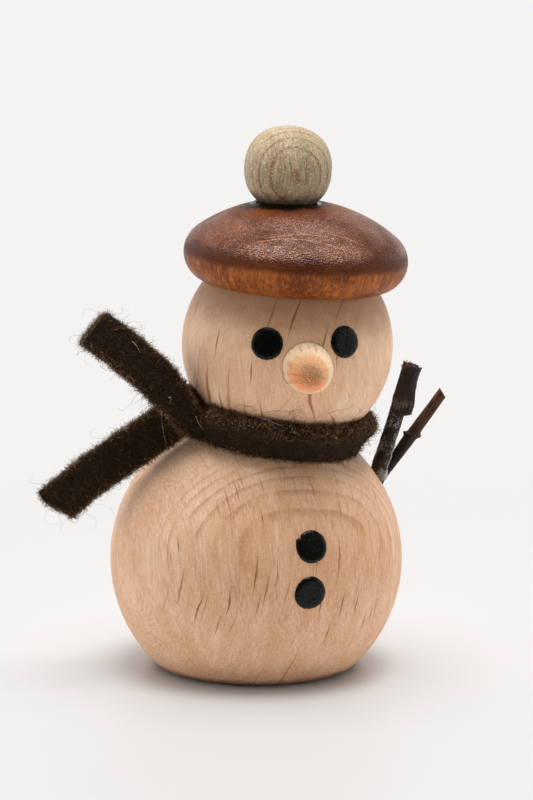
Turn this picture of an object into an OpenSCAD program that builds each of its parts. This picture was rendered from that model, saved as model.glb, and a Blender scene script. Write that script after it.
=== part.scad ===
// Wooden snowman figure: two turned balls, a beret with a bobble, a felt scarf and twigs.
// Millimetres, +Z up. The origin is the centre of the flat foot, and the buttons face -Y.

/* [Body ball] */
// Diameter of the body ball
body_d = 35; // [32:0.5:38]
// Diameter of the flat foot that the figure stands on
foot_d = 23.4; // [18:0.2:27]
// Height of the narrow bevel round the foot
foot_bevel = 0.4; // [0.2:0.1:1]

/* [Neck joint] */
// Diameter of the flats where the two balls are glued together
neck_flat_d = 14.2; // [11:0.1:17]
// Lean of the head on the body, in degrees
neck_lean = 8; // [0:0.5:12]
// Direction of that lean round the body, from +X
neck_lean_dir = -38; // [-90:1:0]
// Diameter of the dowel in the neck
neck_dowel_d = 4; // [3:0.1:6]
// Length of the dowel in the neck
neck_dowel_len = 12; // [8:0.5:15]

/* [Head ball] */
// Diameter of the head ball
head_d = 25; // [23:0.5:27]
// Diameter of the flat on top of the head, under the hat
crown_flat_d = 20; // [17:0.2:22]

/* [Face] */
// Turn of the face away from the line of buttons
face_turn = -11; // [-25:1:25]
// Diameter of a painted eye
eye_d = 4; // [3:0.1:5]
// Angle of each eye to the side of the nose
eye_side = 21.8; // [19:0.2:28]
// Angle of the eyes above the middle of the head
eye_lift = 9.2; // [6:0.2:20]
// Diameter of the nose peg
nose_d = 5.8; // [4:0.1:6.5]
// How far the nose stands out of the head
nose_out = 3.9; // [3.4:0.1:6]
// Depth of the nose hole
nose_in = 4.5; // [3:0.1:6]
// Angle of the nose below the middle of the head
nose_drop = 3.3; // [0:0.1:8]

/* [Buttons] */
// Diameter of a painted button
button_d = 4.1; // [3:0.1:5.4]
// Angle of the upper button above the middle of the body
button_lift = 15.7; // [12:0.1:22]
// Angle between the two buttons
button_step = 17.6; // [16:0.1:22]
// Thickness of the paint at the middle of an eye or a button
paint_t = 0.25; // [0.1:0.05:0.5]

/* [Hat] */
// Diameter of the beret at its widest ring
hat_d = 26.5; // [24.5:0.1:29]
// Height of the beret from its underside to its top flat
hat_h = 9.5; // [9:0.05:12]
// Height of the widest ring above the underside
hat_rim_h = 3.1; // [3:0.1:3.8]
// Radius of the rounded rim
hat_rim_r = 3.5; // [3:0.1:4]
// Diameter of the flat underside
hat_under_d = 19; // [16:0.2:20]
// Diameter of the small flat on top
hat_top_d = 7.2; // [5:0.1:9]
// Angle on the rim where the dome takes over
dome_from = 52; // [45:1:58]
// Angle on the rim where the underside takes over
under_from = 58; // [50:1:65]
// Lean of the hat, in degrees
hat_lean = 3.5; // [0:0.1:8]
// Direction of that lean, from +X
hat_lean_dir = -42; // [-90:1:0]
// Distance of the hat from the middle of the crown's flat
hat_off = 0.3; // [0:0.05:0.4]
// Direction of the hat from the middle of that flat, from +X
hat_off_dir = -21; // [-90:1:90]
// Diameter of the dowel between hat and head
hat_dowel_d = 4; // [3:0.1:6]
// Length of the dowel between hat and head
hat_dowel_len = 8; // [6:0.5:10]

/* [Bobble] */
// Diameter of the bobble
bobble_d = 10.3; // [9.4:0.1:12]
// Height of the bobble
bobble_h = 8.9; // [8.4:0.1:9.5]
// Height of the bobble's widest ring
bobble_mid_h = 3.9; // [3.5:0.1:4.3]
// Diameter of the bobble's flat foot
bobble_foot_d = 6.9; // [6:0.1:8]
// Distance of the bobble from the middle of the hat
bobble_off = 1.6; // [0:0.1:2.2]
// Direction of the bobble from the middle of the hat, from +X
bobble_off_dir = 158; // [90:1:200]
// Diameter of the pin in the bobble
pin_d = 2; // [1.5:0.1:3]
// Length of the pin in the bobble
pin_len = 6; // [4:0.2:7]

/* [Scarf] */
// Width of the felt strip
strip_w = 4.6; // [3.8:0.1:5.2]
// Thickness of the felt strip
strip_t = 2.1; // [1.5:0.1:2.4]
// Height of the middle of the band above the neck joint
band_z = 0.85; // [0.6:0.05:1.2]
// Outward lean of the band at its middle
band_lean = 30; // [22:1:38]
// How much the band is cupped across its width
band_cup = 30; // [10:1:40]
// Direction of the crossing round the neck, from +X
knot_dir = 185; // [175:1:195]
// Height of the crossing above the neck joint, for the strip's front end
front_cross_z = 2.1; // [1.8:0.05:2.3]
// Height of the crossing above the neck joint, for the strip's back end
back_cross_z = 1.6; // [1.3:0.05:1.8]
// Length of the tail that points up, from the crossing
upper_len = 15.2; // [10:0.1:20]
// Rise of the upper tail above the plane of the neck joint
upper_rise = 34; // [25:1:50]
// How far the upper tail bows upwards at its middle
upper_bow = 0.4; // [0:0.05:0.8]
// Length of the tail that points down, from the crossing
lower_len = 18.8; // [12:0.1:24]
// Fall of the lower tail below the plane of the neck joint
lower_fall = 42; // [35:1:44]
// Slant of the cut across the end of the lower tail
lower_cut = 17; // [0:1:25]
// Direction of both tails, from +X
tail_dir = 164; // [155:1:175]
// Twist of each tail along its length, which turns its front face upwards
tail_roll = 24; // [0:1:30]

/* [Twigs] */
// Direction of the twig hole round the body, from +X
twig_dir = -14; // [-40:1:10]
// Height of the twig hole above the middle of the body, in degrees
twig_lift = 33; // [28:0.5:42]
// Lean of the twig hole from upright
twig_lean = 25.5; // [15:0.5:40]
// Direction of that lean, from +X
twig_lean_dir = -21; // [-45:1:0]
// Angle between the two twigs
twig_spread = 17; // [14:1:26]
// Turn of the pair of twigs in their hole: at 0 the thin one is straight behind the thick one
twig_turn = 24; // [0:1:40]
// Depth of the twig hole
twig_in = 5; // [3:0.5:7]
// Diameter of the thick twig
thick_d = 1.9; // [1.5:0.1:2.2]
// Length of the thick twig above the ball
thick_len = 14.2; // [11:0.1:18]
// Diameter of the thin twig
thin_d = 1.2; // [0.8:0.1:1.5]
// Length of the thin twig above the ball
thin_len = 12.6; // [10:0.1:16]
// Slant of the snipped top of the thin twig
thin_cut = -23; // [-35:1:0]

/* [Clearances] */
// Gap all round a dowel or a pin in its hole
dowel_fit = 0.05; // [0.02:0.01:0.1]
// Gap past the end of a dowel or a peg, for the glue
end_gap = 0.4; // [0.2:0.1:0.8]
// Gap between the felt and the wood that it is pressed against
felt_gap = 0.12; // [0.05:0.01:0.2]
// Gap between the two ends of the strip where they cross
knot_gap = 0.2; // [0.15:0.05:0.4]
// Gap between the twigs, and between them and their hole
twig_fit = 0.12; // [0.08:0.01:0.2]

/* [Hidden] */
$fn = 96;
paint_fn = 360; // the thin lens of a paint spot needs finely divided balls
cut = 0.1; // how far a cutter runs past the face that it opens

body_r = body_d / 2;
head_r = head_d / 2;
hat_r = hat_d / 2;
bobble_r = bobble_d / 2;

// Distance from a ball's centre to a flat of diameter d cut on it
function flat_at(r, d) = sqrt(r * r - d * d / 4);

body_z = flat_at(body_r, foot_d);        // centre of the body ball above the foot
neck_down = flat_at(body_r, neck_flat_d); // neck joint above the centre of the body ball
neck_up = flat_at(head_r, neck_flat_d);   // centre of the head ball above the neck joint
crown_up = flat_at(head_r, crown_flat_d); // hat seat above the centre of the head ball

// Direction of a lean, and the three centres that the pieces hang on
function lean_axis(a, dir) = [sin(a) * cos(dir), sin(a) * sin(dir), cos(a)];
body_c = [0, 0, body_z];
neck_c = body_c + neck_down * lean_axis(neck_lean, neck_lean_dir);
head_c = neck_c + neck_up * lean_axis(neck_lean, neck_lean_dir);

// ---- frames ----

// Leans its children by a towards dir, without turning them
module lean(a, dir) {
    rotate([0, 0, dir])
        rotate([0, a, 0])
            rotate([0, 0, -dir])
                children();
}

// Neck joint: origin in the middle of the two glued flats
module at_neck() {
    translate(neck_c)
        lean(neck_lean, neck_lean_dir)
            children();
}

// Hat seat: origin on the flat on the crown, under the middle of the hat
module at_crown() {
    translate(head_c)
        lean(hat_lean, hat_lean_dir)
            translate([hat_off * cos(hat_off_dir), hat_off * sin(hat_off_dir), crown_up])
                children();
}

// Bobble seat: origin on the hat's top flat, under the middle of the bobble
module at_bobble() {
    at_crown()
        translate([bobble_off * cos(bobble_off_dir), bobble_off * sin(bobble_off_dir), hat_h])
            children();
}

// A radius of a ball that looks towards -Y, turned by side and lifted by lift; +Z points out
module on_ball(centre, side, lift) {
    translate(centre)
        rotate([0, 0, side])
            rotate([90 - lift, 0, 0])
                children();
}

// Twig hole: origin where its axis meets the ball, +Z out along the hole
twig_c = body_c + body_r * [cos(twig_lift) * cos(twig_dir), cos(twig_lift) * sin(twig_dir), sin(twig_lift)];
module at_twigs() {
    translate(twig_c)
        rotate([0, twig_lean, twig_lean_dir])
            children();
}

// ---- shared shapes ----

// A round hole from just outside z = 0 down to -depth
module hole(d, depth, out = cut) {
    translate([0, 0, -depth])
        cylinder(d = d, h = depth + out);
}

// A dowel centred on z = mid
module dowel(d, len, mid = 0) {
    translate([0, 0, mid - len / 2])
        cylinder(d = d, h = len);
}

// Everything above z = 0, as far as a part reaches
module above(reach) {
    translate([-reach, -reach, 0])
        cube([2 * reach, 2 * reach, 2 * reach]);
}

// A drop of paint of diameter d on a ball: a lens whose inner face is the ball's own surface
module paint_spot(ball_r, d) {
    edge = flat_at(ball_r, d);
    rise = ball_r + paint_t - edge;
    drop_r = (d * d / 4 + rise * rise) / (2 * rise);
    difference() {
        translate([0, 0, ball_r + paint_t - drop_r])
            sphere(drop_r, $fn = paint_fn);
        sphere(ball_r, $fn = paint_fn);
    }
}

// Points along an arc from angle a to angle b
function arc(c, r, a, b, n) = [for (i = [0 : n]) let (t = a + (b - a) * i / n) c + r * [cos(t), sin(t)]];

// Arc that leaves a circle tangentially at angle a and ends at point p
function leaving_arc(c, r, a, p, n) =
    let (
        out = [cos(a), sin(a)],
        from = c + r * out,
        v = p - from,
        q = -(v * v) / (2 * (v * out)),
        centre = from - q * out,
        e = p - centre
    )
    arc(centre, q, a, atan2(e[1], e[0]), n);

// Skin over rings of equal length, closed by a flat cap at each end
module skin(rings) {
    m = len(rings[0]);
    last = (len(rings) - 1) * m;
    sides = [
        for (i = [0 : len(rings) - 2], j = [0 : m - 1])
            let (k = (j + 1) % m)
            [i * m + j, (i + 1) * m + j, (i + 1) * m + k, i * m + k]
    ];
    halves = [for (s = sides) each [[s[0], s[1], s[2]], [s[0], s[2], s[3]]]];
    caps = [[for (j = [0 : m - 1]) j], [for (j = [m - 1 : -1 : 0]) last + j]];
    polyhedron([for (ring = rings) each ring], concat(halves, caps));
}

// ---- turned wood ----

neck_hole = neck_dowel_len / 2 + end_gap; // depth of the dowel's hole in each ball

// Ring-shaped cutter that bevels the edge of the foot
module foot_bevel_cutter() {
    inner = foot_d / 2 - foot_bevel;
    outer = sqrt(body_r * body_r - pow(body_z - foot_bevel, 2));
    rotate_extrude()
        polygon([
            [inner, -cut], [inner, 0], [outer, foot_bevel],
            [outer + body_r, foot_bevel], [outer + body_r, -cut]
        ]);
}

module body() {
    color("burlywood")
        difference() {
            translate(body_c) sphere(body_r);
            mirror([0, 0, 1]) above(body_r);
            foot_bevel_cutter();
            at_neck() above(body_r);
            at_neck() hole(neck_dowel_d + 2 * dowel_fit, neck_hole);
            at_twigs() hole(bore_d, twig_in, out = body_r);
        }
}

module head() {
    color("burlywood")
        difference() {
            translate(head_c) sphere(head_r);
            at_neck() mirror([0, 0, 1]) above(head_r);
            at_neck() mirror([0, 0, 1]) hole(neck_dowel_d + 2 * dowel_fit, neck_hole);
            at_crown() above(head_r);
            at_crown() hole(hat_dowel_d + 2 * dowel_fit, hat_dowel_len / 2 + end_gap);
            on_ball(head_c, face_turn, -nose_drop)
                translate([0, 0, head_r])
                    hole(nose_d + 2 * dowel_fit, nose_in, out = head_r);
        }
}

module hat() {
    rim_c = [hat_r - hat_rim_r, hat_rim_h];
    dome = leaving_arc(rim_c, hat_rim_r, dome_from, [hat_top_d / 2, hat_h], 14);
    rim = arc(rim_c, hat_rim_r, -under_from, dome_from, 20);
    under = leaving_arc(rim_c, hat_rim_r, -under_from, [hat_under_d / 2, 0], 5);
    under_up = [for (i = [len(under) - 1 : -1 : 1]) under[i]];
    dome_up = [for (i = [1 : len(dome) - 1]) dome[i]];
    color("saddlebrown")
        difference() {
            at_crown()
                rotate_extrude()
                    polygon(concat([[0, 0]], under_up, rim, dome_up, [[0, hat_h]]));
            at_crown() mirror([0, 0, 1]) hole(hat_dowel_d + 2 * dowel_fit, hat_dowel_len / 2 + end_gap);
            at_bobble() hole(pin_d + 2 * dowel_fit, pin_len / 2 + end_gap);
        }
}

// A little fuller than a ball above and below its widest ring, down to a flat foot
module bobble() {
    full = 2.25; // power of the profile's curve: 2 would be an ellipse
    reach = bobble_mid_h / pow(1 - pow(bobble_foot_d / bobble_d, full), 1 / full);
    dome_h = bobble_h - bobble_mid_h;
    lower = [
        for (i = [0 : 12])
            let (z = bobble_mid_h * i / 12)
            [bobble_r * pow(1 - pow((bobble_mid_h - z) / reach, full), 1 / full), z]
    ];
    side = [
        for (i = [1 : 17])
            let (a = 5 * i)
            [bobble_r * pow(cos(a), 2 / full), bobble_mid_h + dome_h * pow(sin(a), 2 / full)]
    ];
    upper = concat(side, [[0, bobble_h]]);
    color("tan")
        at_bobble()
            difference() {
                rotate_extrude() polygon(concat([[0, 0]], lower, upper));
                mirror([0, 0, 1]) hole(pin_d + 2 * dowel_fit, pin_len / 2 + end_gap);
            }
}

// A straight peg with a round end, in a hole that it fits
module nose() {
    stem = nose_in + nose_out - nose_d / 2 - end_gap;
    color("sandybrown")
        on_ball(head_c, face_turn, -nose_drop)
            translate([0, 0, head_r - nose_in + end_gap]) {
                cylinder(d = nose_d, h = stem);
                translate([0, 0, stem]) sphere(d = nose_d);
            }
}

module neck_dowel() {
    color("wheat") at_neck() dowel(neck_dowel_d, neck_dowel_len);
}

module hat_dowel() {
    color("wheat") at_crown() dowel(hat_dowel_d, hat_dowel_len);
}

module bobble_pin() {
    color("wheat") at_bobble() dowel(pin_d, pin_len);
}

// ---- paint ----

module eye(side) {
    color("black") on_ball(head_c, face_turn + side, eye_lift) paint_spot(head_r, eye_d);
}

module button(lift) {
    color("black") on_ball(body_c, 0, lift) paint_spot(body_r, button_d);
}

module eye_right() {
    eye(-eye_side);
}

module eye_left() {
    eye(eye_side);
}

module button_upper() {
    button(button_lift);
}

module button_lower() {
    button(button_lift - button_step);
}

// ---- scarf ----
// One felt strip, drawn in the neck joint's frame. A station on it is [point, out, up, cup]:
// out points through the strip, up runs across its width, and cup bends it across its width.

function unit(v) = v / norm(v);
function ease(u) = u * u * (3 - 2 * u);
function flat_dir(a) = [cos(a), sin(a), 0];
function square_to(v, t) = unit(v - (v * t) * t);

// Half outline of the strip across its thickness: [out, up] in the strip's own plane
strip_round = 0.24 * strip_t; // radius taken off the strip's long edges
function strip_outline() =
    let (t = strip_t / 2, w = strip_w / 2, h = w - strip_round, e = t - strip_round)
    [
        [t, -h], [t, -h / 3], [t, h / 3], [t, h], [e, w], [-e, w],
        [-t, h], [-t, h / 3], [-t, -h / 3], [-t, -h], [-e, -w], [e, -w]
    ];

// A point of the outline once the strip is cupped: the middle line becomes an arc
function cupped(p, cup) =
    let (bend = max(cup, 0.5), r = strip_w * 180 / (bend * PI), b = bend * p[1] / strip_w)
    [r * (1 - cos(b)) + p[0] * cos(b), r * sin(b) - p[0] * sin(b)];

// Felt gives way to wood: a point inside a ball is moved out to just off its surface
function off_ball(p, c, r) = norm(p - c) < r ? c + r * unit(p - c) : p;
function off_wood(p) =
    off_ball(off_ball(p, [0, 0, neck_up], head_r + felt_gap), [0, 0, -neck_down], body_r + felt_gap);

function strip_ring(s) = [
    for (p = strip_outline())
        let (q = cupped(p, s[3]))
        off_wood(s[0] + q[0] * s[1] + q[1] * s[2])
];

// The band's upper inner corner touches the head, which sets the band's radius
corner = cupped([-strip_t / 2, strip_w / 2], band_cup);
corner_out = corner[0] * cos(band_lean) + corner[1] * sin(band_lean);
corner_up = corner[1] * cos(band_lean) - corner[0] * sin(band_lean);
band_r = flat_at(head_r + felt_gap, 2 * (neck_up - band_z - corner_up)) - corner_out;

function band_station(a) = [
    band_r * flat_dir(a) + [0, 0, band_z],
    cos(band_lean) * flat_dir(a) - [0, 0, sin(band_lean)],
    sin(band_lean) * flat_dir(a) + [0, 0, cos(band_lean)],
    band_cup
];

// The strip leaves the band, turns outwards and meets its other end face to face
leave_front = knot_dir + 20; // where the front end leaves the band
leave_back = knot_dir - 28;  // where the back end leaves the band
cross_r = band_r + 0.9 * strip_t;
tail_side = flat_dir(tail_dir + 90); // across the tails, towards the front

function tail_along(rise) = cos(rise) * flat_dir(tail_dir) + [0, 0, sin(rise)];
function tail_out(along, roll) = square_to(cos(roll) * tail_side + [0, 0, sin(roll)], along);

// Stations of one end: a curve from the band to the crossing, then the tail, which twists and
// bows, and is cut across at a slant. side is 1 for the front end and -1 for the back end
function end_stations(side, from, cross_z, rise, length, bow, slant) =
    let (
        along = tail_along(rise),
        start = band_station(from),
        heading = side * [sin(from), -cos(from), 0],
        turn = 0.35 * strip_w,
        p0 = start[0],
        p3 = cross_r * flat_dir(knot_dir) + [0, 0, cross_z] + side * (strip_t + knot_gap) / 2 * tail_side,
        p1 = p0 + turn * heading,
        p2 = p3 - turn * along,
        out = side * tail_side
    )
    concat(
        [
            for (i = [1 : 7])
                let (
                    u = i / 7,
                    v = 1 - u,
                    p = v * v * v * p0 + 3 * v * v * u * p1 + 3 * v * u * u * p2 + u * u * u * p3,
                    d = unit(v * v * (p1 - p0) + 2 * v * u * (p2 - p1) + u * u * (p3 - p2)),
                    o = square_to((1 - ease(u)) * start[1] + ease(u) * out, d)
                )
                [p, o, side * cross(d, o), band_cup * (1 - ease(u))]
        ],
        [
            for (i = [1 : 8])
                let (
                    u = i / 8,
                    o = side * tail_out(along, tail_roll * u * (2 - u)),
                    across = side * cross(along, o),
                    p = p3 + along * length * u + tail_along(rise + 90) * 4 * bow * u * (1 - u)
                )
                [p, o, across + (i == 8 ? tan(slant) : 0) * along, 0]
        ]
    );

function reversed(v) = [for (i = [len(v) - 1 : -1 : 0]) v[i]];

band_step = 6; // degrees of the band between two stations
band_turns = floor((360 - leave_front + leave_back) / band_step);
function band_angle(i) = leave_back - (360 - leave_front + leave_back) * i / band_turns;

module scarf() {
    back = end_stations(-1, leave_back, back_cross_z, -lower_fall, lower_len, 0, lower_cut);
    front = end_stations(1, leave_front, front_cross_z, upper_rise, upper_len, upper_bow, 0);
    band = [for (i = [0 : band_turns]) band_station(band_angle(i))];
    color("darkolivegreen")
        at_neck()
            skin([for (s = concat(reversed(back), band, front)) strip_ring(s)]);
}

// ---- twigs ----
// Both stand side by side in one hole and part from each other above it.

bore_d = thick_d + thin_d + 2 * twig_fit;
thick_side = -(bore_d - thick_d - twig_fit) / 2; // thick twig, on the front side of the hole
thin_side = (bore_d - thin_d - twig_fit) / 2;    // thin twig, behind it

// A bump of height 1 and width w centred on s = at
function bump(s, at, w) = exp(-pow((s - at) / w, 2));

// Radius of the thick twig: a side shoot's stump, thicker wood above it and a flare at the torn end
spur_at = 0.62 * thick_len;
function thick_radius(s, a) =
    let (
        r = thick_d / 2,
        above_spur = s > spur_at ? 1 - bump(s, spur_at, thick_d / 2) : 0,
        stump = bump(s, spur_at, thick_d * (s < spur_at ? 0.25 : 0.6)) * pow(max(0, cos(a)), 3),
        end = bump(s, thick_len, 0.8 * thick_d)
    )
    r * (1 + 0.14 * above_spur + 0.1 * end + 0.8 * stump);

// Radius of the thin twig: it swells up to the ring of a leaf scar and is slimmer past it
scar_at = 0.5 * thin_len;
function thin_radius(s, a) =
    let (
        r = thin_d / 2,
        swell = s < scar_at ? 0.95 + 0.28 * s / scar_at : 0.99,
        ring = 0.23 * bump(s, scar_at, 0.3 * thin_d) * (1 + 0.5 * cos(2 * a))
    )
    r * (swell + ring);

// Points round a twig at height s above the hole's mouth, tilted by lean towards +X.
// slant tips the last ring, where the twig was snipped off
function twig_ring(side, lean, s, radius, slant) =
    let (
        k = max(s, 0),
        mid = [side * sin(twig_turn) + k * sin(lean), side * cos(twig_turn), s < 0 ? s : k * cos(lean)],
        tip = s < 0 ? 0 : lean,
        x = [cos(tip), 0, -sin(tip)],
        z = [sin(tip), 0, cos(tip)]
    )
    [
        for (j = [0 : 11])
            let (a = 30 * j, r = radius[j])
            mid + r * cos(a) * x + [0, r * sin(a), 0] + z * r * cos(a) * tan(slant)
    ];

// Heights of the rings: two inside the hole, below where the twig bends, then evenly up the twig
function twig_heights(length, d, n) =
    let (from = 0.4 * d)
    concat([end_gap - twig_in, -0.12 * d], [for (i = [0 : n]) from + (length - from) * i / n]);

module twig_thick() {
    heights = twig_heights(thick_len, thick_d, 22);
    color("#3b211c")
        at_twigs()
            skin([
                for (s = heights)
                    let (
                        radius = [for (j = [0 : 11]) s < 0 ? thick_d / 2 : thick_radius(s, 30 * j)]
                    )
                    twig_ring(thick_side, -twig_spread / 2, s, radius, 0)
            ]);
}

module twig_thin() {
    heights = twig_heights(thin_len, thin_d, 26);
    color("#4a2a18")
        at_twigs()
            skin([
                for (s = heights)
                    let (
                        radius = [for (j = [0 : 11]) s < 0 ? thin_d / 2 : thin_radius(s, 30 * j)]
                    )
                    twig_ring(thin_side, twig_spread / 2, s, radius, s == thin_len ? thin_cut : 0)
            ]);
}

body();
head();
hat();
bobble();
nose();
neck_dowel();
hat_dowel();
bobble_pin();
eye_right();
eye_left();
button_upper();
button_lower();
scarf();
twig_thick();
twig_thin();
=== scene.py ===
"""Looks of a wooden snowman figure: turned beech, a stained beret, paint drops, a felt scarf and twigs.

Lengths in the classes are millimetres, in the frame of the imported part: +Z is up and the buttons face -Y.
"""

import logging
import math
from dataclasses import dataclass, field
from enum import Enum
from typing import Callable, Dict, Iterator, List, Optional, Sequence, Tuple, Union

import bmesh
import bpy
import numpy as np
from mathutils import Matrix, Vector, noise
from mathutils.bvhtree import BVHTree


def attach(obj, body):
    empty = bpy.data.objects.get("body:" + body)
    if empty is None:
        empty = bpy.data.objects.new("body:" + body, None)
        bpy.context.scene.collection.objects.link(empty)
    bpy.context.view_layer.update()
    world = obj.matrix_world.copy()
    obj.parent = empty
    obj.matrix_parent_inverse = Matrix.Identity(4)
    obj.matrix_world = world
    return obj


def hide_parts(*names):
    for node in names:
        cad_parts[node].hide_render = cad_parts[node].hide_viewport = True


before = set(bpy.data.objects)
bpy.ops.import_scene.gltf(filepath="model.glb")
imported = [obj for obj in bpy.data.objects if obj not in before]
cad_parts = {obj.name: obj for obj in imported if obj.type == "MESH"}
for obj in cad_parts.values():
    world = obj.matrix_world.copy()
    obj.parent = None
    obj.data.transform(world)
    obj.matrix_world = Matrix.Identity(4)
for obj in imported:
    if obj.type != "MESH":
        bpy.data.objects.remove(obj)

MM = 0.001
BODY = "root"
SAME_SPOT = 1e-5  # millimetres between vertices that are merged
MOST_TRIANGLES = 190000  # in one piece of fibres
log = logging.getLogger("snowman")

Colour = Tuple[float, float, float, float]
Triple = Tuple[float, float, float]
Point = Union[Vector, np.ndarray]
Material = bpy.types.Material
Shape = bmesh.types.BMesh


def srgb(red: int, green: int, blue: int) -> Colour:
    """Linear colour of a display colour.

    Args:
        red, green, blue: display values from 0 to 255.

    Returns:
        The linear colour, with an alpha of 1.
    """
    linear = [
        v / 12.92 if v <= 0.04045 else ((v + 0.055) / 1.055) ** 2.4
        for v in (red / 255, green / 255, blue / 255)
    ]
    return (linear[0], linear[1], linear[2], 1.0)


# ---- frames of the figure ----


def lean(angle: float, towards: float) -> Matrix:
    """Turn that leans +Z by angle towards a direction round it, both in degrees."""
    turn = Matrix.Rotation(math.radians(towards), 4, "Z")
    return turn @ Matrix.Rotation(math.radians(angle), 4, "Y") @ turn.inverted()


def level(angle: float) -> Vector:
    """Level unit vector at an angle from +X, in radians."""
    return Vector((math.cos(angle), math.sin(angle), 0))


def flat_dir(angle: float) -> Vector:
    """Level unit vector at an angle from +X, in degrees."""
    return level(math.radians(angle))


def flat_at(radius: float, across: float) -> float:
    """Distance from a ball's centre to a flat of that diameter on it."""
    return math.sqrt(radius**2 - across**2 / 4)


def axes(origin: Vector, forward: Vector, up: Vector) -> Matrix:
    """Frame with +Z along up and +Y as near to forward as that allows.

    Args:
        origin: its origin, in millimetres.
        forward: the direction that +Y is to follow.
        up: the direction of +Z.

    Returns:
        The frame as a 4 by 4 matrix.
    """
    z = up.normalized()
    x = forward.cross(z).normalized()
    y = z.cross(x)
    turned = Matrix((x, y, z)).transposed().to_4x4()
    return Matrix.Translation(origin) @ turned


@dataclass(frozen=True)
class Figure:
    """The turned pieces' sizes and the frames that everything else hangs on."""

    body_r: float = 17.5
    foot_d: float = 23.4
    neck_flat_d: float = 14.2
    neck_lean: float = 8.0
    neck_lean_dir: float = -38.0
    head_r: float = 12.5
    crown_flat_d: float = 20.0
    face_turn: float = -11.0
    hat_h: float = 9.5
    hat_lean: float = 3.5
    hat_lean_dir: float = -42.0
    hat_off: float = 0.3
    hat_off_dir: float = -21.0
    bobble_off: float = 1.6
    bobble_off_dir: float = 158.0
    twig_dir: float = -14.0
    twig_lift: float = 33.0
    twig_lean: float = 25.5
    twig_lean_dir: float = -21.0

    def body(self) -> Vector:
        """Centre of the body ball."""
        return Vector((0, 0, flat_at(self.body_r, self.foot_d)))

    def neck(self) -> Matrix:
        """Frame of the glued flats between the balls.

        Returns:
            The frame, with its origin on the body's flat.
        """
        turned = lean(self.neck_lean, self.neck_lean_dir)
        rise = turned @ Vector((0, 0, flat_at(self.body_r, self.neck_flat_d)))
        return Matrix.Translation(self.body() + rise) @ turned

    def head(self) -> Vector:
        """Centre of the head ball."""
        return self.neck() @ Vector((0, 0, flat_at(self.head_r, self.neck_flat_d)))

    def crown(self) -> Matrix:
        """Frame of the hat, with its origin in the middle of its underside.

        Returns:
            The frame, with +Z up through the hat.
        """
        off = self.hat_off * flat_dir(self.hat_off_dir)
        seat = off + Vector((0, 0, flat_at(self.head_r, self.crown_flat_d)))
        tilt = lean(self.hat_lean, self.hat_lean_dir)
        return Matrix.Translation(self.head()) @ tilt @ Matrix.Translation(seat)

    def bobble_seat(self) -> Matrix:
        """Frame of the bobble, with its origin in the middle of its foot."""
        off = self.bobble_off * flat_dir(self.bobble_off_dir)
        return self.crown() @ Matrix.Translation(off + Vector((0, 0, self.hat_h)))

    def on_ball(self, centre: Vector, side: float, lift: float) -> Matrix:
        """Frame at a ball's centre whose +Z points out at an angle to the front and above the middle."""
        turn = Matrix.Rotation(math.radians(side), 4, "Z")
        return Matrix.Translation(centre) @ turn @ Matrix.Rotation(math.radians(90 - lift), 4, "X")

    def twig_hole(self) -> Matrix:
        """Frame of the twigs' hole, with +Z out along it.

        Returns:
            The frame.
        """
        lift = math.radians(self.twig_lift)
        out = flat_dir(self.twig_dir) * math.cos(lift) + Vector((0, 0, math.sin(lift)))
        turn = Matrix.Rotation(math.radians(self.twig_lean_dir), 4, "Z")
        tip = Matrix.Rotation(math.radians(self.twig_lean), 4, "Y")
        return Matrix.Translation(self.body() + self.body_r * out) @ turn @ tip


FIGURE = Figure()


# ---- shader maths ----


class Wire:
    """An output socket. Python's operators on it add Math nodes to its graph."""

    def __init__(self, graph: "Graph", socket: bpy.types.NodeSocket) -> None:
        """Wraps socket, which belongs to graph."""
        self.graph = graph
        self.socket = socket

    def math(self, operation: str, *others: "Value") -> "Wire":
        """Math node of that operation, with this wire as its first value."""
        return self.graph.math(operation, self, *others)

    def __add__(self, other: "Value") -> "Wire":
        """self + other."""
        return self.math("ADD", other)

    def __radd__(self, other: "Value") -> "Wire":
        """other + self."""
        return self.math("ADD", other)

    def __sub__(self, other: "Value") -> "Wire":
        """self - other."""
        return self.math("SUBTRACT", other)

    def __rsub__(self, other: "Value") -> "Wire":
        """other - self."""
        return self.graph.math("SUBTRACT", other, self)

    def __mul__(self, other: "Value") -> "Wire":
        """self * other."""
        return self.math("MULTIPLY", other)

    def __rmul__(self, other: "Value") -> "Wire":
        """other * self."""
        return self.math("MULTIPLY", other)

    def __truediv__(self, other: "Value") -> "Wire":
        """self / other."""
        return self.math("DIVIDE", other)

    def __lt__(self, other: "Value") -> "Wire":
        """1 where self is less than other."""
        return self.math("LESS_THAN", other)

    def __abs__(self) -> "Wire":
        """Size of self without its sign."""
        return self.math("ABSOLUTE")

    def fract(self) -> "Wire":
        """What is left of self past a whole number."""
        return self.math("FRACT")

    def clamp(self) -> "Wire":
        """Self held between 0 and 1."""
        return self.math("MINIMUM", 1.0).math("MAXIMUM", 0.0)

    def step(self, low: "Value", high: "Value") -> "Wire":
        """Smooth step from 0 at low to 1 at high. Low may be the greater."""
        inputs = {"Value": self, "From Min": low, "From Max": high}
        return self.graph.node("ShaderNodeMapRange", {"interpolation_type": "SMOOTHSTEP"}, inputs)

    def other(self, name: Union[str, int]) -> "Wire":
        """Another output of the node that this wire leaves."""
        return Wire(self.graph, self.socket.node.outputs[name])


Value = Union[Wire, float, Sequence[float]]
Inputs = Dict[Union[str, int], Value]


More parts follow.
